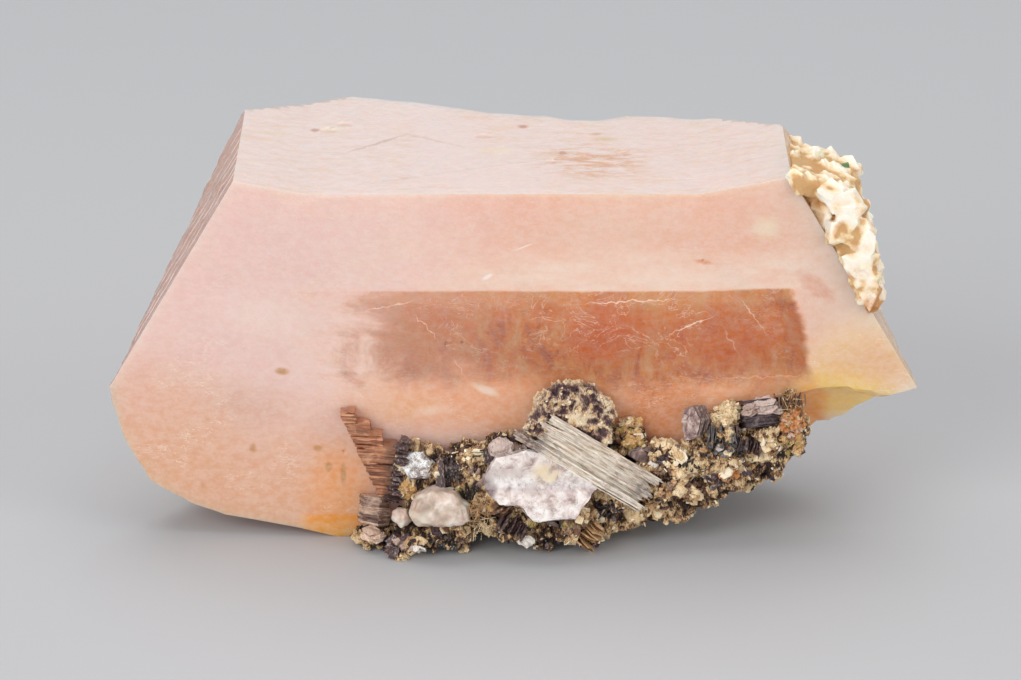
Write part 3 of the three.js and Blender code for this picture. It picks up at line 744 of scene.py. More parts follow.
def crystal_material():
    """Milky and peach on the rim, clear and orange in the core, frosted on top, striped at the sides."""
    stone = Recipe("morganite")
    warped = stone.warped(2.2, 9)
    jagged = stone.warped(0.8, 1.5)
    x, _, z = stone.axes(warped)
    clouds = stone.noise(16, detail=4, stretch=(1.4, 4, 1), seed=2)
    wisps = stone.noise(7, detail=5, rough=0.62, stretch=(1.8, 4, 1), twist=0.6, seed=7)
    core = core_extent(stone, x, z, wisps)
    inside, milk = core_colours(stone, x, clouds, wisps, warped, jagged)
    colour = rim_colours(stone, x, z, clouds, wisps, warped)
    for tint, centre, reach, soft, turn, strength in FRONT_SPOTS:
        size = max(reach)
        border = warped if size > 5 else jagged if size > 3 else None
        spot = stone.spot(centre, reach, soft, turn, vector=border)
        colour = stone.mix(stone.times(spot, strength), colour, tint)
    _, _, fine_z = stone.axes()
    foot = stone.times(stone.level(fine_z, 4.8, 4.2), stone.level(x, -26, -29), stone.level(x, -40, -37))
    colour = stone.mix(foot, colour, AMBER)
    colour = stone.mix(stone.times(core, 0.95), colour, inside)

    facing = stone.add("ShaderNodeNewGeometry").outputs["Normal"]
    top = stone.level(stone.vector("DOT_PRODUCT", facing, (0, 0, 1)), 0.62, 0.76)
    colour = stone.mix(stone.times(top, 0.85), colour, top_colours(stone, clouds, jagged))
    left_side = stone.level(stone.vector("DOT_PRODUCT", facing, LEFT_NORMAL), 0.93, 0.98)
    right_side = stone.level(stone.vector("DOT_PRODUCT", facing, RIGHT_NORMAL), 0.93, 0.98)
    stripes = stone.noise(0.9, detail=2, rough=0.6, stretch=(30, 0.5, 30), seed=51)
    dull = stone.mix(stone.level(stripes, 0.35, 0.7), rgb(190, 142, 122), rgb(222, 178, 160))
    colour = stone.mix(stone.times(left_side, 0.9), colour, dull)
    grooved = stone.mix(stone.level(stripes, 0.38, 0.66), rgb(222, 182, 142), rgb(246, 216, 184))
    colour = stone.mix(stone.times(right_side, 0.9), colour, grooved)
    dashes = stone.veins(1.7, 0.02, detail=3, rough=0.65, stretch=(2.2, 3, 0.8), seed=81)
    dashed = stone.times(dashes, stone.level(wisps, 0.5, 0.62), stone.level(z, 60, 30, 0.25, 0.6))
    colour = stone.mix(dashed, colour, rgb(255, 238, 216))
    flecks = stone.noise(1.2, detail=3, rough=0.75, stretch=(1.5, 1.5, 1), seed=61)
    colour = stone.mix(stone.level(flecks, 0.3, 0.7, 0.0, 0.22), colour, rgb(255, 244, 236))

    striped = stone.math("ADD", left_side, right_side)
    relief = stone.math("ADD", stone.times(flecks, 0.12), stone.times(stripes, striped, 0.3))
    clear = stone.times(core, stone.level(milk, 0, 1, 1, 0.15))
    return stone.finish(
        Base_Color=colour,
        Roughness=stone.level(flecks, 0.3, 0.7, 0.17, 0.262),
        Normal=stone.bump(relief, 1.0),
        Transmission_Weight=stone.level(clear, 0, 1, 0.22, 0.66),
        Subsurface_Weight=0.6,
        Subsurface_Scale=0.006,
        Subsurface_Radius=(1.0, 0.55, 0.4),
        IOR=1.58,
    )


morganite = crystal_material()
absorption = morganite.node_tree.nodes.new("ShaderNodeVolumeAbsorption")
absorption.inputs["Color"].default_value = (0.98, 0.68, 0.52, 1)
absorption.inputs["Density"].default_value = 9
morganite.node_tree.links.new(
    absorption.outputs[0], morganite.node_tree.nodes["Material Output"].inputs["Volume"]
)
new_piece("morganite_prism", crystal_bm, morganite, "morganite", "morganite_crystal", smooth_angle=22)

# %% [markdown]
# ## Healed cracks in the core
# The clear core isn't empty. Cracks that healed while the crystal grew are left as lacy veils: thin
# bent sheets of tiny bubbles with holes between them. Painted on the surface they would look flat, so
# they are real sheets inside: a grid with the faces of a noise's low parts taken out, bent a little,
# given a thickness of a few hundredths of a millimetre and turned into place.

# %% Veils
VEILS = [  # centre, width and height, turn about x and z in degrees, fullness, seed
    ((-12, 5, 39), (22, 13), (84, -8), 0.42, 1),
    ((2, 7, 38), (20, 14), (96, 10), 0.40, 2),
    ((15, 5, 36), (18, 12), (88, 12), 0.40, 3),
    ((30, 6, 39), (22, 13), (82, -10), 0.44, 4),
    ((42, 5, 38), (15, 14), (94, 14), 0.42, 5),
    ((-20, 7, 34), (16, 14), (98, -12), 0.42, 6),
    ((12, 12, 33), (44, 15), (86, 4), 0.34, 7),
]
VEIL_CELL = 0.34


def veil_sheet(width, height, fullness, seed):
    """A lacy sheet that lies flat. The higher its fullness, the more of its faces are kept."""
    sheet = bmesh.new()
    columns, rows = int(width / VEIL_CELL), int(height / VEIL_CELL)
    bmesh.ops.create_grid(sheet, x_segments=columns, y_segments=rows, size=0.5)
    bmesh.ops.scale(sheet, vec=Vector((width * MM, height * MM, 1)), verts=sheet.verts)
    doomed = []
    for face in sheet.faces:
        middle = face.calc_center_median() / MM
        edge = (2 * middle.x / width) ** 2 + (2 * middle.y / height) ** 2
        threads = 1 - 3.2 * abs(noise.fractal(Vector((middle.x, middle.y, seed * 9)) / 4.2, 0.8, 2.2, 5))
        if threads < 0.15 + 1.6 * (0.5 - fullness) + 0.55 * edge:
            doomed.append(face)
    bmesh.ops.delete(sheet, geom=doomed, context="FACES")
    for vert in sheet.verts:
        vert.co.z = 1.4 * MM * noise.noise(Vector((vert.co.x, vert.co.y, seed * MM)) / (9 * MM))
    bmesh.ops.solidify(sheet, geom=sheet.faces[:], thickness=0.05 * MM)
    return sheet


def veil_material():
    """Pale, dull and a little see-through, as fine bubbles are."""
    veil = Recipe("healed_crack")
    cloudy = veil.noise(1.5, detail=4, seed=3)
    return veil.finish(
        Base_Color=veil.mix(veil.level(cloudy, 0.3, 0.7), rgb(252, 186, 134), rgb(255, 216, 182)),
        Roughness=veil.level(cloudy, 0, 1, 0.5, 0.8),
        Subsurface_Weight=0.5,
        Subsurface_Scale=0.001,
    )


veils = bmesh.new()
for centre, (width, height), (turn_x, turn_z), fullness, seed in VEILS:
    sheet = veil_sheet(width, height, fullness, seed)
    turn = Matrix.Rotation(math.radians(turn_z), 4, "Z") @ Matrix.Rotation(math.radians(turn_x), 4, "X")
    sheet.transform(Matrix.Translation(place(*centre)) @ turn)
    add_part(veils, sheet)
new_piece("healed_cracks", veils, veil_material(), "morganite")

# %% [markdown]
# ## Mica books
# Mica splits into leaves, and a crystal of it is called a book. The solid books have the right
# outline and place. Here each is cut into its leaves: the copy is sliced square to the way its
# leaves lie, each slice gets a lattice, and then its rim is made ragged and its face a little uneven.
# No two slices are alike, so the sides show fine ledges. Some leaves are broken off short.


# %% Leaves
def leaf_normal(turns):
    """The way that a book's leaves face when the book is turned so."""
    return turn_matrix(*turns).to_3x3() @ Vector((0, 1, 0))


def one_leaf(whole, normal, low, high, cell, rng, rag, broken):
    """The slice of a book between two heights along its normal, ragged by rag mm."""
    leaf = whole.copy()
    cut_away(leaf, normal * high, normal)
    cut_away(leaf, normal * low, -normal)
    if not leaf.faces:
        return leaf
    middle = sum((v.co for v in leaf.verts), Vector()) / len(leaf.verts)
    across = normal.orthogonal().normalized()
    upward = normal.cross(across)
    if broken:
        angle = rng.uniform(0, math.tau)
        outward = (across * math.cos(angle) + upward * math.sin(angle)).normalized()
        reach = max((v.co - middle).dot(outward) for v in leaf.verts)
        cut_away(leaf, middle + outward * reach * rng.uniform(0.2, 0.8), outward)
    bmesh.ops.triangulate(leaf, faces=leaf.faces[:])
    for direction in (across, upward):
        lattice_cut(leaf, direction, cell)
    shrink = rng.uniform(0.95, 1.0)
    seed = rng.uniform(0, 50)
    for vert in leaf.verts:
        out = vert.co - middle
        lift = out.dot(normal)
        flat = out - normal * lift
        shift = noise.noise_vector(vert.co / (1.6 * MM) + Vector((seed, 0, 0)))
        shift += 0.6 * noise.noise_vector(vert.co / (0.6 * MM) + Vector((0, seed, 0)))
        shift -= normal * shift.dot(normal)
        wave = noise.noise(vert.co / (3.5 * MM)) + 0.4 * noise.noise(vert.co / (1.1 * MM))
        vert.co = middle + normal * (lift + wave * 0.16 * MM) + flat * shrink + shift * rag * MM
        vert.co.z = max(vert.co.z, 0)
    return leaf


def book(name, node, turns, leaf, cell, rag, broken, material, slot, seed, grown=(), trims=()):
    """Splits a solid book into leaves about leaf mm thick. broken is the share of short leaves.

    grown stretches the copy first: from a point, along a direction, by a share. Each of the trims
    cuts off what lies beyond a plane, given by a point and the way out.
    """
    rng = random.Random(seed)
    normal = leaf_normal(turns)
    whole = cad_copy(node)
    for anchor, direction, share in grown:
        for vert in whole.verts:
            vert.co += direction * (vert.co - place(*anchor)).dot(direction) * share
    for point, outward in trims:
        cut_away(whole, place(*point), outward.normalized())
    along = [v.co.dot(normal) for v in whole.verts]
    low, end = min(along), max(along)
    stack = bmesh.new()
    tints = []
    while low < end - 0.05 * MM:
        high = min(end, low + leaf * rng.uniform(0.65, 1.4) * MM)
        part = one_leaf(whole, normal, low + 0.02 * MM, high, cell * MM, rng, rag, rng.random() < broken)
        add_part(stack, part, tints, rng.random())
        low = high
    whole.free()
    bmesh.ops.recalc_face_normals(stack, faces=stack.faces)
    return new_piece(name, stack, material, slot, node, smooth_angle=35, tints=tints)


print("upright leaves face", [round(c, 2) for c in leaf_normal((0, 0, 0))])

# %% [markdown]
# ## Mica's finish
# A mica book has two kinds of surface. The flat cleavage faces are pearly, with clouds and thin
# cracks, and mirror the softboxes. The sides are the edges of hundreds of leaves: duller, darker and
# striped. One recipe makes both, and each book gives it its colours. The way that a surface faces
# tells which kind it is.


# %% Mica material
def mica(name, turns, face_colours, edge_colours, gloss=(0.22, 0.5), patches=(), grain=2.2, crackle=0.45):
    """Each set of four colours goes from dark to pale. grain is the size of the clouds in mm."""
    recipe = Recipe(name)
    normal = leaf_normal(turns)
    across = normal.orthogonal().normalized()
    combine = recipe.add("ShaderNodeCombineXYZ")
    for socket, axis in zip(combine.inputs, (across, normal.cross(across), normal)):
        recipe.plug(socket, recipe.vector("DOT_PRODUCT", recipe.point, axis))
    leaves = combine.outputs[0]
    facing = recipe.vector("DOT_PRODUCT", recipe.add("ShaderNodeNewGeometry").outputs["Normal"], normal)
    flat = recipe.level(recipe.math("ABSOLUTE", facing), 0.72, 0.88)

    clouds = recipe.noise(grain, detail=6, rough=0.62, twist=0.4, seed=4, vector=leaves)
    face = recipe.ramp(clouds, *zip((0.3, 0.46, 0.56, 0.7), face_colours))
    cracks = recipe.veins(grain * 1.6, 0.01, detail=4, seed=9, vector=leaves)
    face = recipe.mix(recipe.times(cracks, crackle), face, edge_colours[0])

    stripes = recipe.noise(0.16, detail=3, stretch=(26, 26, 1), seed=14, vector=leaves)
    own_tint = recipe.math("SUBTRACT", recipe.attribute("tint"), 0.5)
    tone = recipe.math("ADD", stripes, recipe.times(own_tint, 0.3))
    side = recipe.ramp(tone, *zip((0.3, 0.45, 0.6, 0.75), edge_colours))
    side = recipe.mix(recipe.level(clouds, 0.5, 0.68, 0, 0.5), side, edge_colours[3])
    side = recipe.mix(recipe.level(clouds, 0.46, 0.3, 0, 0.5), side, edge_colours[0])
    colour = recipe.mix(flat, side, face)
    wandering = recipe.warped(1.0, 2)
    for tint, centre, reach, strength in patches:
        spot = recipe.spot(centre, reach, 0.5, vector=wandering)
        cover = recipe.times(spot, recipe.level(clouds, 0.4, 0.56, 0.35, 1), strength)
        colour = recipe.mix(cover, colour, tint)
    height = recipe.math("ADD", recipe.times(stripes, 0.5), recipe.times(clouds, 0.6))
    dullness = recipe.math("ADD", recipe.level(clouds, 0.35, 0.65, *gloss), recipe.level(flat, 1, 0, 0, 0.2))
    return recipe.finish(
        Base_Color=colour,
        Roughness=dullness,
        Normal=recipe.bump(height, 0.22),
        Subsurface_Weight=0.15,
        Subsurface_Scale=0.0015,
    )


TURNS = {  # how each book lies: turns about x, y and z, in degrees
    "pearl": (-22, 0, 0), "layered": (70, 33, 0), "silver": (-30, 0, -8),
    "nodule": (75, 8, 0), "dark": (-12, 0, 20), "lilac": (-10, 0, -28), "fan": (68, -6, 0),
    "ribbed": (84, 4, 0),
}
PURPLE_EDGES = (rgb(46, 34, 34), rgb(84, 66, 66), rgb(122, 98, 92), rgb(176, 156, 146))
DARK_FACES = (rgb(58, 42, 42), rgb(92, 70, 68), rgb(128, 104, 98), rgb(184, 166, 158))
print("mica recipe ready")

# %% [markdown]
# ## Colours of the books
# The large pearly book has a white cleavage face, a little stained with cream. The layered book shows
# the grey-green edges of its leaves. The small ones are silver, purple or brown. The dark purple is
# lepidolite's own colour, and the browns are stains, except for a dark brown patch on the ribbed
# book, which is painted shade.

# %% Colours of the books
pearl_mica = mica(
    "pearly_mica", TURNS["pearl"],
    (rgb(150, 128, 122), rgb(206, 186, 180), rgb(232, 217, 211), rgb(246, 236, 231)),
    (rgb(70, 46, 52), rgb(108, 80, 82), rgb(152, 126, 120), rgb(208, 188, 176)),
    gloss=(0.24, 0.42),
    patches=[
        (rgb(222, 192, 152), (6.6, -11, 17.2), (2.6, 9, 1.7), 0.8),
        (rgb(166, 142, 136), (-1, -11, 17.4), (5, 9, 0.9), 0.5),
        (rgb(176, 152, 146), (4.4, -11, 14), (3.6, 9, 0.9), 0.5),
        (rgb(92, 66, 68), (-4.4, -10, 13.6), (1.5, 9, 3), 0.85),
        (rgb(116, 84, 104), (8, -11.5, 8.2), (4.6, 9, 0.7), 0.7),
    ],
)
layered_mica = mica(
    "layered_mica", TURNS["layered"],
    (rgb(164, 150, 134), rgb(204, 190, 170), rgb(228, 214, 194), rgb(242, 230, 214)),
    (rgb(166, 142, 128), rgb(216, 196, 178), rgb(238, 222, 206), rgb(252, 242, 230)),
    gloss=(0.35, 0.6), grain=1.4,
    patches=[
        (rgb(92, 68, 68), (3.0, -6, 22.6), (3.4, 9, 2.2), 0.8),
        (rgb(214, 184, 142), (15, -4, 21.5), (8, 5, 1.2), 0.6),
        (rgb(84, 66, 66), (24.5, -6, 13), (2.4, 9, 1.6), 0.7),
    ],
)
silver_mica = mica(
    "silver_mica", TURNS["silver"],
    (rgb(84, 66, 60), rgb(168, 156, 150), rgb(232, 226, 222), rgb(250, 246, 243)), PURPLE_EDGES,
    gloss=(0.12, 0.3), grain=1.6, crackle=0.9,
)
dark_mica = mica("dark_mica", TURNS["dark"], DARK_FACES, PURPLE_EDGES, gloss=(0.3, 0.5))
nodule_mica = mica(
    "nodule_mica", TURNS["nodule"],
    (rgb(160, 130, 116), rgb(194, 164, 150), rgb(216, 192, 176), rgb(232, 212, 196)),
    (rgb(84, 62, 54), rgb(138, 106, 92), rgb(184, 148, 128), rgb(222, 194, 172)),
)
lilac_mica = mica(
    "lilac_mica", TURNS["lilac"],
    (rgb(92, 70, 70), rgb(142, 116, 110), rgb(184, 160, 150), rgb(222, 204, 190)), PURPLE_EDGES, grain=1.0,
)
fan_mica = mica(
    "fan_mica", TURNS["fan"],
    (rgb(104, 80, 80), rgb(158, 134, 126), rgb(200, 180, 168), rgb(232, 218, 206)),
    (rgb(34, 24, 30), rgb(62, 46, 52), rgb(98, 78, 80), rgb(150, 130, 124)), grain=1.0, crackle=0.8,
)
ribbed_mica = mica(
    "ribbed_mica", TURNS["ribbed"],
    (rgb(140, 88, 64), rgb(180, 120, 90), rgb(200, 142, 108), rgb(220, 168, 134)),
    (rgb(104, 62, 44), rgb(166, 108, 78), rgb(200, 140, 104), rgb(224, 172, 138)),
    gloss=(0.35, 0.55),
    # The dark brown patch is painted shade along the wedge's right side.
    patches=[(rgb(92, 64, 52), (-21.4, -4, 14), (1.8, 9, 9), 0.7)],
)
print("book colours ready")

# %% [markdown]
# ## Eight books
# Each book has its own leaf thickness, lattice spacing, raggedness and share of broken leaves. The
# pearly and the layered book are stretched a little first, and the ribbed one is trimmed to a wedge.
# The ninth book, the spotted one, is overgrown and follows with the matrix.

# %% Books
PEARL_GROWN = [((0, 0, 6.6), Vector((0, 0, 1)), 0.12)]
LAYERED_GROWN = [((20, 0, 24), leaf_normal(TURNS["layered"]), 0.08)]
RIBBED_TRIMS = [((-28.8, 0, 26.6), Vector((0.66, 0, 0.75))), ((-31.4, 0, 26.2), Vector((-0.92, 0, -0.4)))]

book(
    "book_pearl", "mica_book_pearl", TURNS["pearl"], 0.36, 0.75, 0.3, 0.3, pearl_mica, "pearl_mica", 1,
    grown=PEARL_GROWN,
)
book(
    "book_layered", "mica_book_layered", TURNS["layered"], 0.24, 0.9, 0.4, 0.06, layered_mica,
    "layered_mica", 3, grown=LAYERED_GROWN,
)
book("book_silver", "mica_book_silver", TURNS["silver"], 0.3, 0.5, 0.25, 0.3, silver_mica, "silver_mica", 4)
book("book_nodule", "mica_book_nodule", TURNS["nodule"], 0.4, 0.6, 0.3, 0.25, nodule_mica, "purple_mica", 5)
book("book_dark", "mica_book_dark", TURNS["dark"], 0.4, 0.5, 0.2, 0.2, dark_mica, "purple_mica", 6)
book("book_lilac", "mica_book_lilac", TURNS["lilac"], 0.4, 0.5, 0.25, 0.25, lilac_mica, "purple_mica", 7)
book("book_fan", "mica_book_fan", TURNS["fan"], 0.4, 0.6, 0.3, 0.25, fan_mica, "purple_mica", 8)
book(
    "book_ribbed", "mica_book_ribbed", TURNS["ribbed"], 0.38, 0.7, 0.25, 0.15, ribbed_mica, "ribbed_mica", 9,
    trims=RIBBED_TRIMS,
)

# %% [markdown]
# ## Keeping clear of each other
# The matrix grows round the books and against the crystal, and must not cover the books' faces or dig
# into the crystal. Two search trees over the solids answer how near any point is to them.

# %% Search trees
def search_tree(nodes):
    """A tree over some solids that finds the nearest point on them."""
    joined = bmesh.new()
    for node in nodes:
        add_part(joined, cad_copy(node))
    tree = BVHTree.FromBMesh(joined)
    joined.free()
    return tree


BOOK_NODES = [n for n in sorted(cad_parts) if n.startswith(("mica_book", "quartz"))]
CRYSTAL_TREE = search_tree(["morganite_crystal"])
BOOK_TREE = search_tree(BOOK_NODES)


def clearance(tree, point):
    """How far a point is from the solids of a tree, less than 0 inside them."""
    near, normal, _, distance = tree.find_nearest(point)
    return distance if (point - near).dot(normal) > 0 else -distance


def behind_books(point):
    """Moves a point that lies just before a book's front face to just behind it."""
    near, normal, _, distance = BOOK_TREE.find_nearest(point)
    before = (point - near).dot(normal)
    if normal.y < -0.5 and distance < 2 * MM and before > 0.9 * distance:
        return near - normal * 0.3 * MM
    return point


print("search trees over", len(BOOK_NODES), "books and quartz lumps")

# %% [markdown]
# ## The matrix
# Between the books lies a mass of small mica plates, feldspar and quartz grains, too small and too
# many for the solid model. The solid is remeshed into even small faces, swollen where dark mica
# crowds up against the crystal, and pushed in and out by noise. A number for each point keeps how
# far it was pushed, so that the pits can be painted dark as shade and the crests paler as painted light.

# %% Heart of the matrix
HEART_CELL = 0.42
SWELLINGS = [  # centre and reach
    ((-15.7, -2.4, 14.0), (6.2, 3.4, 5.6)),
    ((-8.0, -2.6, 14.6), (5.2, 4.0, 6.0)),
    ((-1.4, -1.6, 18.6), (3.8, 3.4, 3.6)),
    ((-3.0, -5.0, 9.0), (5.0, 4.0, 5.0)),
    ((13.0, -2.4, 15.0), (9.0, 3.6, 5.0)),
    ((21.2, -1.4, 19.6), (4.4, 3.0, 4.2)),
    ((27.5, -3.0, 13.6), (6.0, 4.2, 6.6)),
    ((38.0, -2.0, 19.0), (6.0, 3.4, 6.0)),
    ((49.0, -1.6, 22.0), (6.0, 3.4, 6.0)),
]


def heart(bm, cell, layers, granules, swellings=(), keep_off=None):
    """A shape with a rough skin. Gives back, too, how far each point was pushed, from 0 to 1.

    granules gives the size and depth of lumps with grooves between them, or of pits with ridges
    between them where the depth is below 0. keep_off is a function that moves a point clear of
    other pieces.
    """
    for centre, reach in swellings:
        matrix = Matrix.Translation(place(*centre)) @ Matrix.Diagonal((*[r * MM for r in reach], 1))
        bmesh.ops.create_icosphere(bm, subdivisions=2, radius=1, matrix=matrix)
    bm = remeshed(bm, cell * MM)
    bm.normal_update()
    depth = abs(granules[1]) + sum(abs(layer[1]) for layer in layers)
    pushes = []
    for vert in bm.verts:
        push = sum(reach * rough(vert.co, size, 3, seed) for size, reach, seed in layers)
        grown = vert.co / (granules[0] * MM)
        near = noise.voronoi(grown + 0.4 * noise.noise_vector(grown * 1.6))[0]
        push += granules[1] * (min(1, 2.2 * (near[1] - near[0])) - 0.5)
        pushes.append(push)
    for vert, push in zip(bm.verts, pushes):
        vert.co += vert.normal * push * MM
        if keep_off:
            vert.co = keep_off(vert.co)
        vert.co.z = max(vert.co.z, 0)
    return bm, [min(1, max(0, 0.5 + push / depth)) for push in pushes]


def skin_points(bm, relief):
    """The middle of each face of a rough skin, the way it faces, and how far it stands out."""
    bm.normal_update()
    bm.verts.index_update()
    points = []
    for face in bm.faces:
        height = sum(relief[vert.index] for vert in face.verts) / len(face.verts)
        points.append((face.calc_center_median(), face.normal.copy(), height))
    return points


print("skin kit ready")

# %% [markdown]
# ## The heart's finish
# The colour follows how far a point was pushed, which paints shade into the pits and light onto the
# crests, and two noises break it up: a coarse one into patches and a fine one, drawn out upwards,
# into the fibres and leaf edges of weathered mica.

# %% Heart's material and mesh


def heart_material(name, *stops, glow=0.05):
    """The stops go from the colour of the pits to that of the crests."""
    recipe = Recipe(name)
    coarse = recipe.noise(4, detail=6, rough=0.65, seed=6)
    fine = recipe.noise(0.5, detail=5, rough=0.7, stretch=(0.6, 0.6, 1.8), seed=8)
    tone = recipe.math("ADD", recipe.attribute("tint"), recipe.level(fine, 0.2, 0.8, -0.35, 0.35))
    tone = recipe.math("ADD", tone, recipe.level(coarse, 0.3, 0.7, -0.15, 0.15))
    return recipe.finish(
        Base_Color=recipe.ramp(tone, *stops),
        Roughness=recipe.level(fine, 0.3, 0.7, 0.5, 0.85),
        Normal=recipe.bump(fine, 0.5),
        Subsurface_Weight=glow,
        Subsurface_Scale=0.001,
    )


heart_bm, heart_relief = heart(
    cad_copy("lepidolite_matrix"), HEART_CELL, [(4.6, 1.4, 1.0), (1.7, 0.8, 5.0)], (1.5, 0.9), SWELLINGS,
    keep_off=behind_books,
)
heart_points = skin_points(heart_bm, heart_relief)
# The darkest stop, in the pits, is painted shade, and the pale crests are partly painted light.
heart_stone = heart_material(
    "matrix_heart", (0.26, rgb(32, 20, 15)), (0.42, rgb(96, 68, 50)), (0.56, rgb(178, 136, 92)),
    (0.74, rgb(240, 210, 164)),
)
new_piece(
    "matrix_heart", heart_bm, heart_stone, "matrix", "lepidolite_matrix", smooth_angle=60,
    tints=heart_relief, tinted="POINT",
)

# %% [markdown]
# ## Grains
# Grains are set on points of that rough skin. Plates are flat six-sided prisms, as mica grows,
# booklets are a few thin plates on top of each other, and crumbs are small blocks with pushed
# corners, as feldspar breaks. There are thousands, so each has only a few faces.

# %% Grain shapes


def turned(point, facing, wander, rng):
    """A grain's place, with its axis near the way it faces, and spun at random."""
    lean = Vector([rng.gauss(0, wander) for _ in range(3)])
    quat = (facing + lean).to_track_quat("Z", "Y")
    spin = Matrix.Rotation(rng.uniform(0, math.tau), 4, "Z")
    return Matrix.Translation(point) @ quat.to_matrix().to_4x4() @ spin


def plate(bm, where, radius, rng):
    """A thin six-sided mica plate."""
    sides = Matrix.Diagonal((1, rng.uniform(0.55, 1.0), 1, 1))
    bmesh.ops.create_cone(
        bm, cap_ends=True, segments=6, radius1=radius, radius2=radius * rng.uniform(0.75, 1.0),
        depth=radius * rng.uniform(0.2, 0.34), matrix=where @ sides,
    )


def booklet(bm, where, radius, rng):
    """A few thin leaves on top of each other, some pushed aside, as a small mica book splits."""
    for number in range(rng.randint(4, 7)):
        aside = Matrix.Translation((rng.gauss(0, 0.12) * radius, rng.gauss(0, 0.12) * radius, 0))
        up = Matrix.Translation((0, 0, (number * 0.17 - 0.5) * radius))
        narrow = Matrix.Diagonal((1, 0.7, 1, 1))
        made = bmesh.ops.create_cone(
            bm, cap_ends=True, segments=6, radius1=radius * rng.uniform(0.75, 1), depth=radius * 0.1,
            radius2=radius * rng.uniform(0.75, 1), matrix=where @ aside @ up @ narrow,
        )
        for vert in made["verts"]:
            vert.co += Vector([rng.uniform(-0.08, 0.08) for _ in range(3)]) * radius


def crumb(bm, where, radius, rng):
    """A small angular block."""
    sides = Matrix.Diagonal((*[rng.uniform(0.7, 1.4) for _ in range(3)], 1))
    made = bmesh.ops.create_cube(bm, size=radius * 1.5, matrix=where @ sides)
    for vert in made["verts"]:
        vert.co += Vector([rng.uniform(-0.3, 0.3) for _ in range(3)]) * radius


print("grain shapes ready")

# %% [markdown]
# ## Scattering
# A grain that would dig into the crystal is made smaller, and left out where it would be too small.
# Grains are made a few dozen at a time in a small mesh that is then added to the whole, because each
# step on a large mesh takes longer.

# %% Scatter
BATCH = 50


def scatter(points, count, shape, radii, wander, tint_of, rng, rise=0.1, grip=0.1, off_books=True):
    """Sets up to count grains on points taken at random. radii gives small to large, mostly small.

    rise lifts a grain by that share of its radius, and grip is how far it may dig into the crystal.
    off_books keeps the grains off the books and the quartz.
    """
    whole, tints = bmesh.new(), []
    part, part_tints = bmesh.new(), []
    for number in range(count):
        point, facing, height = rng.choice(points)
        radius = (radii[0] + (radii[1] - radii[0]) * rng.random() ** 2.2) * MM
        radius = min(radius, clearance(CRYSTAL_TREE, point) + grip * MM)
        free = not off_books or clearance(BOOK_TREE, point) > radius * 0.5
        if free and radius >= radii[0] * 0.8 * MM:
            before = len(part.faces)
            shape(part, turned(point + facing * radius * rise, facing, wander, rng), radius, rng)
            part_tints.extend([tint_of(point, height, rng)] * (len(part.faces) - before))
        if number % BATCH == BATCH - 1 or number == count - 1:
            for vert in part.verts:
                vert.co.z = max(vert.co.z, 0)
            add_part(whole, part)
            tints.extend(part_tints)
            part, part_tints = bmesh.new(), []
    part.free()
    return whole, tints


def grain_material(name, *stops, gloss=(0.35, 0.75), bump=0.12, glow=0.1):
    """Each grain's tint picks its colour from the stops, and clouds make it a little uneven."""
    recipe = Recipe(name)
    clouds = recipe.noise(0.5, detail=5, rough=0.7, stretch=(0.5, 0.5, 1.6), seed=3)
    tone = recipe.math("ADD", recipe.attribute("tint"), recipe.level(clouds, 0.25, 0.75, -0.2, 0.2))
    return recipe.finish(
        Base_Color=recipe.ramp(tone, *stops),
        Roughness=recipe.level(clouds, 0.3, 0.7, *gloss),
        Normal=recipe.bump(clouds, bump),
        Subsurface_Weight=glow,
        Subsurface_Scale=0.001,
    )


print("points on the matrix:", len(heart_points))

# %% [markdown]
# ## Grains of the matrix
# Fine flakes come first and most, set at every angle, so that many show their bright edges. Then
# tan and cream crumbs, larger purple plates, and booklets of a few leaves. The left clump has more
# dark mica, the right one more tan feldspar, and a slow noise gathers each kind in patches.

# %% Flakes, crumbs and plates
FLAKE_COUNT = 4200
CRUMB_COUNT = 3600
PLATE_COUNT = 300
BOOKLET_COUNT = 420


def matrix_tint(point, height, rng):
    """0 is the darkest mica and 1 the palest feldspar. What stands out is paler and what lies deep is darker,
    as painted light and shade.
    """
    spot = on_specimen(point)
    patches = noise.noise(spot / 4) * 0.7
    tan_side = 0.26 if spot.x > 16 else -0.04
    # The height term paints shade into the pits and light onto what stands out.
    return min(1, max(0, 0.5 + tan_side + patches + 2.4 * (height - 0.5) + rng.gauss(0, 0.16)))


def dark_tint(point, height, rng):
    """Mostly dark, wherever the grain is."""
    return min(1, max(0, rng.gauss(0.4, 0.25)))


mixed_grains = grain_material(
    "mixed_grains", (0.0, rgb(42, 28, 26)), (0.22, rgb(98, 70, 56)), (0.42, rgb(150, 112, 80)),
    (0.62, rgb(206, 166, 116)), (0.85, rgb(238, 208, 164)), (1.0, rgb(250, 234, 208)), glow=0.12,
)
purple_plates = grain_material(
    "purple_plates", (0.0, rgb(44, 32, 38)), (0.35, rgb(96, 76, 78)), (0.65, rgb(148, 126, 122)),
    (1.0, rgb(214, 200, 194)), gloss=(0.2, 0.4), bump=0.05,
)
for name, count, shape, radii, wander, tint_of, finish, seed in (
    ("matrix_flakes", FLAKE_COUNT, plate, (0.25, 0.9), 1.2, matrix_tint, mixed_grains, 31),
    ("matrix_crumbs", CRUMB_COUNT, crumb, (0.1, 0.42), 1.0, matrix_tint, mixed_grains, 32),
    ("matrix_plates", PLATE_COUNT, plate, (0.8, 1.8), 0.6, dark_tint, purple_plates, 33),
    ("matrix_booklets", BOOKLET_COUNT, booklet, (0.6, 1.7), 1.5, matrix_tint, mixed_grains, 35),
):
    grains, tints = scatter(heart_points, count, shape, radii, wander, tint_of, random.Random(seed))
    new_piece(name, grains, finish, "matrix", tints=tints)

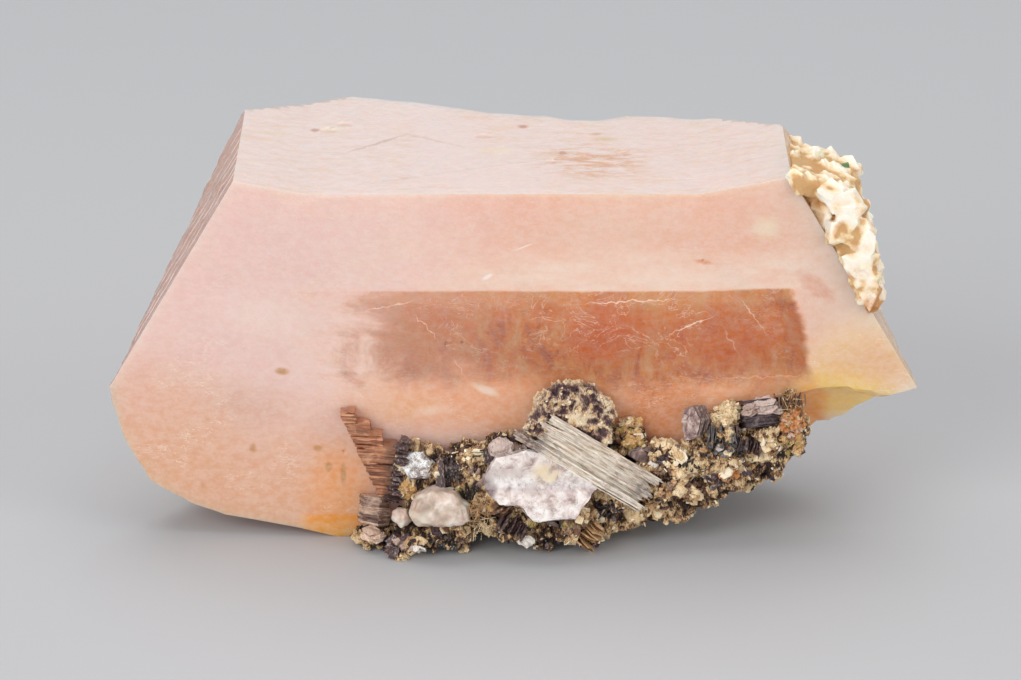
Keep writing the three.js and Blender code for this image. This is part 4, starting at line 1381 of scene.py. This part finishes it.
# %% [markdown]
# ## The overgrown book
# The spotted book, above the pearly one, is dark purple mica under a crust of cream feldspar that has
# grown along its cracks. So its solid gets the same rough skin, with dark pits and pale ridges
# between them, and cream crumbs stand on the ridges.

# %% Spotted book
SPOTTED_CELL = 0.22
SPOTTED_CRUMBS = 420

spotted_bm, spotted_relief = heart(
    cad_copy("mica_book_spotted"), SPOTTED_CELL, [(3.4, 0.7, 11.0), (0.9, 0.4, 12.0)], (2.6, -0.9)
)
ridges = [point for point in skin_points(spotted_bm, spotted_relief) if point[2] > 0.6]
spotted_stone = heart_material(
    "spotted_mica", (0.3, rgb(74, 52, 58)), (0.52, rgb(118, 90, 88)), (0.64, rgb(186, 152, 124)),
    (0.86, rgb(242, 220, 186)), glow=0.1,
)
new_piece(
    "book_spotted", spotted_bm, spotted_stone, "spotted_mica", "mica_book_spotted", smooth_angle=60,
    tints=spotted_relief, tinted="POINT",
)


def cream_tint(point, height, rng):
    """Tan to cream, wherever the grain is."""
    return rng.uniform(0.55, 1)


crumbs, crumb_tints = scatter(
    ridges, SPOTTED_CRUMBS, crumb, (0.1, 0.36), 1.0, cream_tint, random.Random(34), off_books=False
)
new_piece("spotted_crumbs", crumbs, mixed_grains, "spotted_mica", tints=crumb_tints)

# %% [markdown]
# ## What stands out in the matrix
# Some parts of the matrix are large enough to tell apart: dark pointed micas, combs of leaf edges,
# stacks of pale plates and tufts of fine fibres. Each is a row of a table: what it is, where, how
# large, how far it spreads, how many, how it is turned, and its mineral. Cream, tan, olive, green and
# orange grains grow on the skin in patches. Each patch is a row of a second table, and its three
# minerals are those of its crests, slopes and pits.

# %% Tables of the special grains
MINERALS = {
    "black": rgb(36, 25, 23), "purple": rgb(80, 58, 60), "brown": rgb(122, 86, 62),
    "mauve": rgb(178, 150, 138), "silver": rgb(226, 214, 204), "cream": rgb(238, 210, 168),
    "blush": rgb(220, 186, 164), "tan": rgb(192, 150, 104), "orange": rgb(198, 126, 66),
    "olive": rgb(158, 134, 62), "green": rgb(88, 112, 74), "slate": rgb(108, 106, 108),
    "lilac": rgb(206, 182, 172), "honey": rgb(204, 158, 96),
}
# In each patch, the darker mineral of the pits is partly painted shade.
PATCHES = [  # centre, reach, count, grain, smallest and largest radius, minerals
    ((-11.1, -4.4, 15.4), (2.2, 3, 2.2), 50, "plate", (0.5, 1.4), "black purple black"),
    ((-9.4, -6.4, 12.6), (1.2, 3, 1.8), 30, "crumb", (0.15, 0.6), "olive tan brown"),
    ((-20.6, -9.4, 2.4), (2.0, 4, 1.4), 26, "crumb", (0.6, 1.6), "mauve mauve purple"),
    ((-17.4, -9.6, 2.2), (2.0, 4, 1.4), 22, "plate", (0.5, 1.2), "silver mauve brown"),
    ((-12.4, -9.0, 2.6), (3.6, 4, 1.4), 60, "crumb", (0.15, 0.7), "tan brown black"),
    ((-19.4, -7.0, 11.6), (1.8, 4, 1.6), 60, "crumb", (0.15, 0.6), "honey tan brown"),
    ((-13.0, -6.0, 16.6), (3.4, 4, 1.0), 60, "crumb", (0.15, 0.6), "tan brown purple"),
    ((10.4, -11.0, 7.6), (2.0, 4, 0.9), 40, "crumb", (0.2, 0.6), "green green olive"),
    ((6.0, -11.0, 6.8), (2.6, 4, 1.1), 60, "crumb", (0.2, 0.6), "olive honey brown"),
    ((12.6, -9.6, 7.0), (2.4, 4, 2.4), 90, "crumb", (0.2, 0.8), "cream tan brown"),
    ((-2.6, -9.0, 11.0), (1.8, 4, 1.8), 50, "crumb", (0.15, 0.6), "honey tan brown"),
    ((3.0, -9.6, 10.0), (2.2, 4, 1.2), 50, "crumb", (0.15, 0.6), "tan brown purple"),
    ((18.0, -5.0, 8.0), (2.6, 5, 2.2), 90, "plate", (0.5, 1.6), "black black purple"),
    ((22.6, -3.0, 22.4), (3.4, 4, 2.8), 150, "crumb", (0.15, 0.6), "honey olive brown"),
    ((20.6, -2.6, 24.6), (2.4, 4, 1.6), 60, "crumb", (0.15, 0.6), "cream tan brown"),
    ((28.4, -4.4, 19.2), (3.0, 4, 2.4), 150, "crumb", (0.15, 0.6), "cream tan purple"),
    ((29.5, -6.0, 13.6), (4.0, 5, 3.4), 170, "crumb", (0.2, 0.7), "cream tan brown"),
    ((25.5, -6.0, 9.6), (2.6, 5, 1.8), 80, "crumb", (0.2, 0.7), "cream tan black"),
    ((33.2, -4.4, 16.8), (1.6, 5, 1.6), 50, "plate", (0.5, 1.2), "black black purple"),
    ((37.0, -4.4, 13.6), (1.8, 5, 1.6), 50, "plate", (0.5, 1.2), "black black purple"),
    ((34.6, -6.0, 11.4), (3.2, 5, 1.8), 110, "crumb", (0.2, 0.7), "cream tan brown"),
    ((40.3, -4.6, 14.2), (1.8, 5, 1.6), 50, "crumb", (0.15, 0.6), "orange tan brown"),
    ((38.6, -3.6, 26.2), (4.6, 4, 1.7), 460, "crumb", (0.12, 0.45), "cream cream tan"),
    ((40.0, -4.2, 19.6), (4.8, 4, 2.0), 170, "crumb", (0.15, 0.6), "honey tan slate"),
    ((45.9, -4.8, 18.8), (1.8, 4, 1.4), 40, "crumb", (0.4, 1.0), "cream honey brown"),
    ((51.8, -3.8, 24.4), (2.2, 4, 3.0), 120, "crumb", (0.15, 0.6), "orange blush brown"),
    ((51.4, -4.2, 20.6), (2.4, 4, 2.0), 90, "crumb", (0.15, 0.6), "honey olive brown"),
]
SPECIALS = [  # kind, centre, radius, spread, count, turns, mineral
    ("comb", (-20.6, -4.6, 15.2), 1.5, 12.0, 17, (0, -80, 0), "purple"),
    ("comb", (-18.0, -3.6, 19.8), 1.3, 4.5, 8, (0, 20, 0), "brown"),
    ("blades", (-9.6, -4.8, 12.4), 1.3, 6.5, 7, (12, 0, 0), "purple"),
    ("blades", (-5.6, -5.4, 11.6), 1.1, 5.0, 6, (10, 14, 0), "mauve"),
    ("blades", (-8.4, -6.2, 9.8), 1.0, 6.0, 7, (18, -14, 0), "black"),
    ("leaves", (-1.8, -5.0, 20.2), 2.6, 1.8, 8, (66, 0, 10), "lilac"),
    ("leaves", (0.8, -4.6, 19.0), 1.7, 1.4, 7, (50, 20, 0), "mauve"),
    ("leaves", (-4.0, -5.2, 18.4), 1.7, 1.4, 7, (80, -20, 0), "purple"),
    ("leaves", (-25.4, -6.6, 3.6), 2.5, 1.6, 6, (24, 8, 0), "blush"),
    ("tuft", (-6.2, -9.6, 9.6), 0.09, 2.4, 70, (0, 0, 0), "tan"),
    ("tuft", (-5.6, -9.4, 6.6), 0.07, 3.0, 50, (0, 0, 0), "cream"),
    ("comb", (0.4, -9.8, 6.4), 1.8, 5.0, 10, (0, 35, 0), "purple"),
    ("comb", (-1.6, -9.4, 9.4), 1.5, 3.4, 7, (0, 60, 0), "brown"),
    ("leaves", (3.2, -10.6, 3.9), 1.5, 1.6, 5, (40, 10, 0), "silver"),
    ("comb", (14.6, -8.4, 3.8), 2.0, 4.6, 9, (0, -55, 10), "tan"),
    ("leaves", (26.8, -5.8, 16.4), 1.7, 1.0, 4, (80, 50, 0), "silver"),
    ("leaves", (46.6, -3.6, 28.2), 2.6, 1.6, 8, (20, -10, 0), "lilac"),
    ("leaves", (43.8, -4.0, 27.4), 1.7, 1.2, 6, (30, -24, 0), "mauve"),
    ("leaves", (48.8, -3.6, 27.4), 1.6, 1.2, 6, (24, 14, 0), "lilac"),
    ("comb", (38.8, -5.2, 22.6), 2.3, 5.4, 12, (0, 0, 0), "slate"),
    ("comb", (43.8, -5.0, 20.4), 1.5, 4.0, 8, (0, 12, 0), "purple"),
    ("comb", (51.0, -3.2, 28.6), 1.4, 5.6, 15, (0, 0, 0), "brown"),
    ("tuft", (51.0, -3.4, 29.0), 0.09, 2.6, 60, (0, 0, 0), "tan"),
]
print(len(SPECIALS), "special groups and", len(PATCHES), "patches")

# %% [markdown]
# ## Shapes of the special grains
# Four small functions make the four kinds, in millimetres about the origin: leaves on top of each
# other, a comb of leaves side by side, pointed blades and a tuft of fibres.

# %% Shapes of the special grains


def leaves(bm, radius, spread, count, rng):
    """A few plates on top of each other."""
    for number in range(count):
        shift = Matrix.Translation((rng.gauss(0, 0.2), rng.gauss(0, 0.2), (number / count - 0.5) * spread))
        narrow = Matrix.Diagonal((1, rng.uniform(0.6, 0.9), 1, 1))
        made = bmesh.ops.create_cone(
            bm, cap_ends=True, segments=11, radius1=radius * rng.uniform(0.6, 1), depth=spread / count * 0.6,
            radius2=radius * rng.uniform(0.6, 1), matrix=shift @ narrow,
        )
        for vert in made["verts"]:
            vert.co.x *= rng.uniform(0.7, 1.15)
            vert.co.y *= rng.uniform(0.7, 1.15)
            vert.co.z += rng.gauss(0, 0.08) * radius


def comb(bm, radius, spread, count, rng):
    """Leaf edges side by side in a row."""
    for number in range(count):
        along = (number / (count - 1) - 0.5 + rng.gauss(0, 0.4 / count)) * spread
        shift = Matrix.Translation((along, rng.gauss(0, 0.3), rng.gauss(0, 0.3)))
        lean = Matrix.Rotation(math.pi / 2 + rng.gauss(0, 0.12), 4, "Y")
        made = bmesh.ops.create_cone(
            bm, cap_ends=True, segments=7, radius1=radius * rng.uniform(0.5, 1.1), depth=spread / count * 0.6,
            radius2=radius * rng.uniform(0.5, 1.1), matrix=shift @ lean,
        )
        for vert in made["verts"]:
            vert.co.y += rng.gauss(0, 0.14) * radius
            vert.co.z += rng.gauss(0, 0.14) * radius


def blades(bm, radius, spread, count, rng):
    """Pointed micas that stand side by side."""
    for number in range(count):
        height = radius * rng.uniform(3.2, 5.2)
        along = (number / (count - 1) - 0.5) * spread
        shift = Matrix.Translation((along, rng.gauss(0, 0.5), height * 0.4))
        lean = turn_matrix(rng.gauss(0, 10), rng.gauss(0, 12), rng.uniform(-40, 40))
        bmesh.ops.create_cone(
            bm, cap_ends=True, segments=6, radius1=radius, radius2=radius * 0.25, depth=height,
            matrix=shift @ lean @ Matrix.Diagonal((1, 0.4, 1, 1)),
        )


def tuft(bm, radius, spread, count, rng):
    """Fine fibres every way."""
    for _ in range(count):
        length = spread * rng.uniform(0.4, 1)
        shift = Matrix.Translation([rng.gauss(0, 0.35) * spread for _ in range(3)])
        bmesh.ops.create_cone(
            bm, cap_ends=True, segments=4, radius1=radius, radius2=radius * 0.6, depth=length,
            matrix=shift @ turn_matrix(*[rng.uniform(0, 180) for _ in range(3)]),
        )


MAKERS = {"leaves": leaves, "comb": comb, "blades": blades, "tuft": tuft}
GRAINS = {"plate": plate, "crumb": crumb}
print("makers:", ", ".join(MAKERS))

# %% [markdown]
# ## Placing and colouring the special grains
# All of them are one mesh. Each face keeps a number that picks its mineral's colour from a stepped
# ramp, so one material serves for all the minerals.

# %% Special grains


def special_material():
    """A stepped ramp of the minerals' colours, with dark and bright clouds."""
    recipe = Recipe("special_grains")
    clouds = recipe.noise(0.6, detail=4, rough=0.7, stretch=(0.6, 0.6, 1.6), seed=3)
    count = len(MINERALS)
    stops = [(number / count, colour) for number, colour in enumerate(MINERALS.values())]
    colour = recipe.ramp(recipe.attribute("tint"), *stops, steps=True)
    shaded = recipe.mix(recipe.level(clouds, 0.5, 0.3, 0, 0.5), colour, rgb(60, 42, 34))
    bright = recipe.mix(recipe.level(clouds, 0.5, 0.7, 0, 0.35), shaded, rgb(255, 246, 232))
    return recipe.finish(
        Base_Color=bright,
        Roughness=recipe.level(clouds, 0.3, 0.7, 0.25, 0.6),
        Normal=recipe.bump(clouds, 0.15),
        Subsurface_Weight=0.1,
        Subsurface_Scale=0.001,
    )


specials, special_tints = bmesh.new(), []
rng = random.Random(77)


def mineral_tint(mineral):
    """The number that picks a mineral's colour."""
    return (list(MINERALS).index(mineral) + 0.5) / len(MINERALS)


for kind, centre, radius, spread, count, turns, mineral in SPECIALS:
    group = bmesh.new()
    MAKERS[kind](group, radius, spread, count, rng)
    group.transform(Matrix.Diagonal((MM, MM, MM, 1)))
    group.transform(Matrix.Translation(place(*centre)) @ turn_matrix(*turns))
    for vert in group.verts:
        vert.co.z = max(vert.co.z, 0)
    add_part(specials, group, special_tints, mineral_tint(mineral))
for centre, reach, count, grain, radii, minerals in PATCHES:
    crest_tint, slope_tint, pit_tint = [mineral_tint(mineral) for mineral in minerals.split()]

    def patch_tint(point, height, rng):
        # A low point takes the darker pit mineral, as painted shade.
        level = height + rng.gauss(0, 0.07)
        return crest_tint if level > 0.52 else slope_tint if level > 0.42 else pit_tint

    inside = []
    for skin_point in heart_points:
        away = on_specimen(skin_point[0]) - Vector(centre)
        if sum((a / r) ** 2 for a, r in zip(away, reach)) < 1:
            inside.append(skin_point)
    patch, tints = scatter(inside, count, GRAINS[grain], radii, 0.8, patch_tint, rng)
    add_part(specials, patch)
    special_tints.extend(tints)
new_piece("matrix_specials", specials, special_material(), "matrix", tints=special_tints)

# %% [markdown]
# ## Quartz
# Two lumps of grey-white quartz sit low in the left clump. Quartz breaks in smooth curved
# faces with worn edges, so each solid is remeshed, smoothed once and pushed by a slow noise.


# %% Quartz
QUARTZ_CELL = 0.3


def quartz_lump(node, seed):
    """A solid lump with smooth shell-like breaks."""
    bm = remeshed(cad_copy(node), QUARTZ_CELL * MM)
    smoothed(bm)
    bm.normal_update()
    for vert in bm.verts:
        shells = abs(rough(vert.co, 2.8, 2, seed))
        vert.co += vert.normal * (0.55 * shells - 0.1 + 0.05 * rough(vert.co, 0.8, 3, seed)) * MM
    return bm


def quartz_material():
    """Greyish white and glassy, with tan stains."""
    recipe = Recipe("quartz")
    clouds = recipe.noise(3, detail=5, rough=0.6, twist=0.5, seed=2)
    colour = recipe.ramp(
        clouds, (0.35, rgb(186, 164, 146)), (0.5, rgb(218, 200, 184)), (0.68, rgb(246, 236, 226))
    )
    stain = recipe.level(recipe.noise(1.6, detail=5, seed=8), 0.56, 0.7)
    return recipe.finish(
        Base_Color=recipe.mix(recipe.times(stain, 0.5), colour, rgb(206, 168, 126)),
        Roughness=recipe.level(clouds, 0.3, 0.7, 0.3, 0.5),
        Normal=recipe.bump(recipe.noise(0.6, detail=4), 0.08),
        Transmission_Weight=0.15,
        Subsurface_Weight=0.5,
        Subsurface_Scale=0.002,
        IOR=1.54,
    )


quartz = quartz_material()
new_piece("quartz_lump", quartz_lump("quartz_block", 2.0), quartz, "quartz", "quartz_block", smooth_angle=60)
new_piece("quartz_small", quartz_lump("quartz_chip", 7.0), quartz, "quartz", "quartz_chip", smooth_angle=60)

# %% [markdown]
# ## The albite crust
# Albite covers the upper right side face as white blocks up to five millimetres across that have
# grown into each other. So blocks with pushed and broken corners are sunk deep into a copy of the
# solid crust, and all of it is remeshed into one skin and smoothed a little, which melts the blocks
# together. How far each point stands out is kept for the colour.

# %% Albite blocks
BLOCK_COUNT = 340
BLOCK_RADII = (1.0, 2.1)
BLOCK_GROWTH = 1.3  # how far the highest corners stand out of the solid crust
BLOCK_CELL = 0.5  # of the skin that the blocks are set on
CRUST_CELL = 0.24  # of the finished skin
CRUST_SMOOTHING = 3
TINT_SMOOTHING = 5
CRUST_SUNK = Vector((-0.4, 0, -0.3))  # how far it is moved into the side face it grows on
CRUST_TRIMS = [  # where it ends at the top face and lower down: a point of the plane, and the way out
    ((51.2, 0, 0), Vector((-1, 0, 0))),
    ((51.4, 30, 67.8), Vector((0.34, 0.1, 0.94))),
    ((66, 0, 44.5), Vector((0, 0, -1))),
]


def block(bm, where, radius, rng):
    """An albite block: a cube with pushed corners, and one of them broken off."""
    part = bmesh.new()
    bmesh.ops.create_cube(part, size=1)
    for vert in part.verts:
        vert.co += Vector([rng.uniform(-0.12, 0.12) for _ in range(3)])
    corner = Vector([rng.choice((-1, 1)) * rng.uniform(0.4, 1) for _ in range(3)]).normalized()
    cut_away(part, corner * rng.uniform(0.5, 0.62), corner)
    sides = [2 * radius * rng.uniform(0.75, 1.15) for _ in range(3)]
    part.transform(where @ Matrix.Diagonal((*sides, 1)))
    add_part(bm, part)


def flush(bm):
    """Keeps the crust's front end level with the crystal's front face and off its right edge."""
    edge = max(v.co.dot(RIGHT_NORMAL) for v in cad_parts["morganite_crystal"].data.vertices)
    for vert in bm.verts:
        spot = on_specimen(vert.co)
        behind = spot.y - spot.z * FRONT_SLOPE
        if behind < -0.2:
            vert.co.y += (-0.2 - behind) * 0.85 * MM
        inside = edge - vert.co.dot(RIGHT_NORMAL)
        if inside > 0 and behind < 0.8:
            vert.co += RIGHT_NORMAL * inside


def crust_skin():
    """The crust as one skin, and for each of its points how far it stands out, from 0 to 1."""
    crust = cad_copy("albite_crust")
    bmesh.ops.translate(crust, verts=crust.verts, vec=CRUST_SUNK * MM)
    for point, outward in CRUST_TRIMS:
        cut_away(crust, place(*point), outward.normalized())
    tree = BVHTree.FromBMesh(crust)
    crust = remeshed(crust, BLOCK_CELL * MM)
    points = skin_points(crust, [0.5] * len(crust.verts))
    blocks, _ = scatter(
        points, BLOCK_COUNT, block, BLOCK_RADII, 0.5, lambda *_: 0, random.Random(44), rise=-0.6, grip=1.2
    )
    add_part(crust, blocks)
    crust = remeshed(crust, CRUST_CELL * MM)
    for _ in range(CRUST_SMOOTHING):
        smoothed(crust)
    crust.normal_update()
    crust.verts.index_update()
    heights = [min(1, max(0, clearance(tree, v.co) / (BLOCK_GROWTH * MM))) for v in crust.verts]
    for _ in range(TINT_SMOOTHING):
        near = [[heights[edge.other_vert(v).index] for edge in v.link_edges] for v in crust.verts]
        heights = [sum(around) / len(around) for around in near]
    for vert in crust.verts:
        vert.co += vert.normal * 0.1 * rough(vert.co, 1.2, 3, seed=6.0) * MM
    flush(crust)
    return crust, heights


crust_bm, crust_heights = crust_skin()
print("crust points:", len(crust_heights))

# %% [markdown]
# ## The crust's finish
# The corners that stand out are white, and the hollows between them are painted tan as shade. Iron has
# stained some of the hollows brown, and the crust's lower end is tanner than its top. A single small
# green tourmaline sits on the highest point near its spot.

# %% Albite and tourmaline
IRON_STAINS = [  # centre and reach
    ((56.0, 12, 65.0), (2.2, 8, 2.6)),
    ((58.8, 6, 61.4), (2.0, 6, 1.8)),
    ((63.6, 8, 57.0), (1.8, 7, 1.6)),
    ((63.0, 5, 52.0), (2.0, 6, 1.6)),
    ((66.0, 3, 45.0), (1.6, 5, 3.4)),
]
GREEN_SPOT = (61.2, 20)  # the tourmaline's x and y


def albite_material():
    """White where it stands out, tan in the hollows as painted shade, brown in the stained ones."""
    recipe = Recipe("albite")
    clouds = recipe.noise(1.4, detail=5, rough=0.65, seed=3)
    fine = recipe.noise(0.5, detail=4, rough=0.7, seed=8)
    tone = recipe.math("ADD", recipe.attribute("tint"), recipe.level(clouds, 0.25, 0.75, -0.16, 0.15))
    tone = recipe.math("SUBTRACT", tone, recipe.level(recipe.axes()[2], 62, 46, 0.12, 0.42))
    # The tan of the low tones is painted shade in the hollows.
    white = recipe.ramp(
        tone, (0.0, rgb(206, 162, 108)), (0.16, rgb(234, 203, 157)), (0.34, rgb(246, 226, 194)),
        (0.8, rgb(252, 243, 228)),
    )
    wandering = recipe.warped(1.5, 2.5)
    for centre, reach in IRON_STAINS:
        near = recipe.spot(centre, reach, 0.6, vector=wandering)
        deep = recipe.level(tone, 0.7, 0.25)
        white = recipe.mix(recipe.times(near, deep, 0.9), white, rgb(198, 130, 62))
    return recipe.finish(
        Base_Color=white,
        Roughness=recipe.level(fine, 0.3, 0.7, 0.3, 0.6),
        Normal=recipe.bump(recipe.math("ADD", clouds, recipe.times(fine, 0.5)), 0.35),
        Subsurface_Weight=0.3,
        Subsurface_Scale=0.0012,
    )


def tourmaline_material():
    """Green, glossy and finely striped."""
    recipe = Recipe("tourmaline")
    stripes = recipe.noise(0.3, detail=3, stretch=(8, 1, 1))
    return recipe.finish(
        Base_Color=recipe.mix(stripes, rgb(52, 96, 62), rgb(128, 160, 110)),
        Roughness=recipe.level(stripes, 0.3, 0.7, 0.15, 0.3),
        Normal=recipe.bump(stripes, 0.06),
    )


green_seat = max(v.co.z for v in crust_bm.verts if (v.co - place(*GREEN_SPOT, 0)).xy.length < MM)
new_piece(
    "albite_blocks", crust_bm, albite_material(), "albite", "albite_crust", smooth_angle=40,
    tints=crust_heights, tinted="POINT",
)
green = bmesh.new()
bmesh.ops.create_cone(
    green, cap_ends=True, segments=6, radius1=0.6 * MM, radius2=0.55 * MM, depth=2.6 * MM,
    matrix=Matrix.Translation(Vector((*place(*GREEN_SPOT, 0).xy, green_seat))) @ turn_matrix(10, 80, 20),
)
new_piece("tourmaline", green, tourmaline_material(), "albite")

# %% [markdown]
# ## Measure and finish
# How far the dressed specimen grows beyond the solid model's box, on each side, is printed. The
# dressed specimen has to stay inside the solid model's box.

# %% Finish
shown_low, shown_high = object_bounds()
beyond = (*(cad_low - shown_low), *(shown_high - cad_high))
print("grown beyond the solid by mm:", [round(side / MM, 2) for side in beyond])
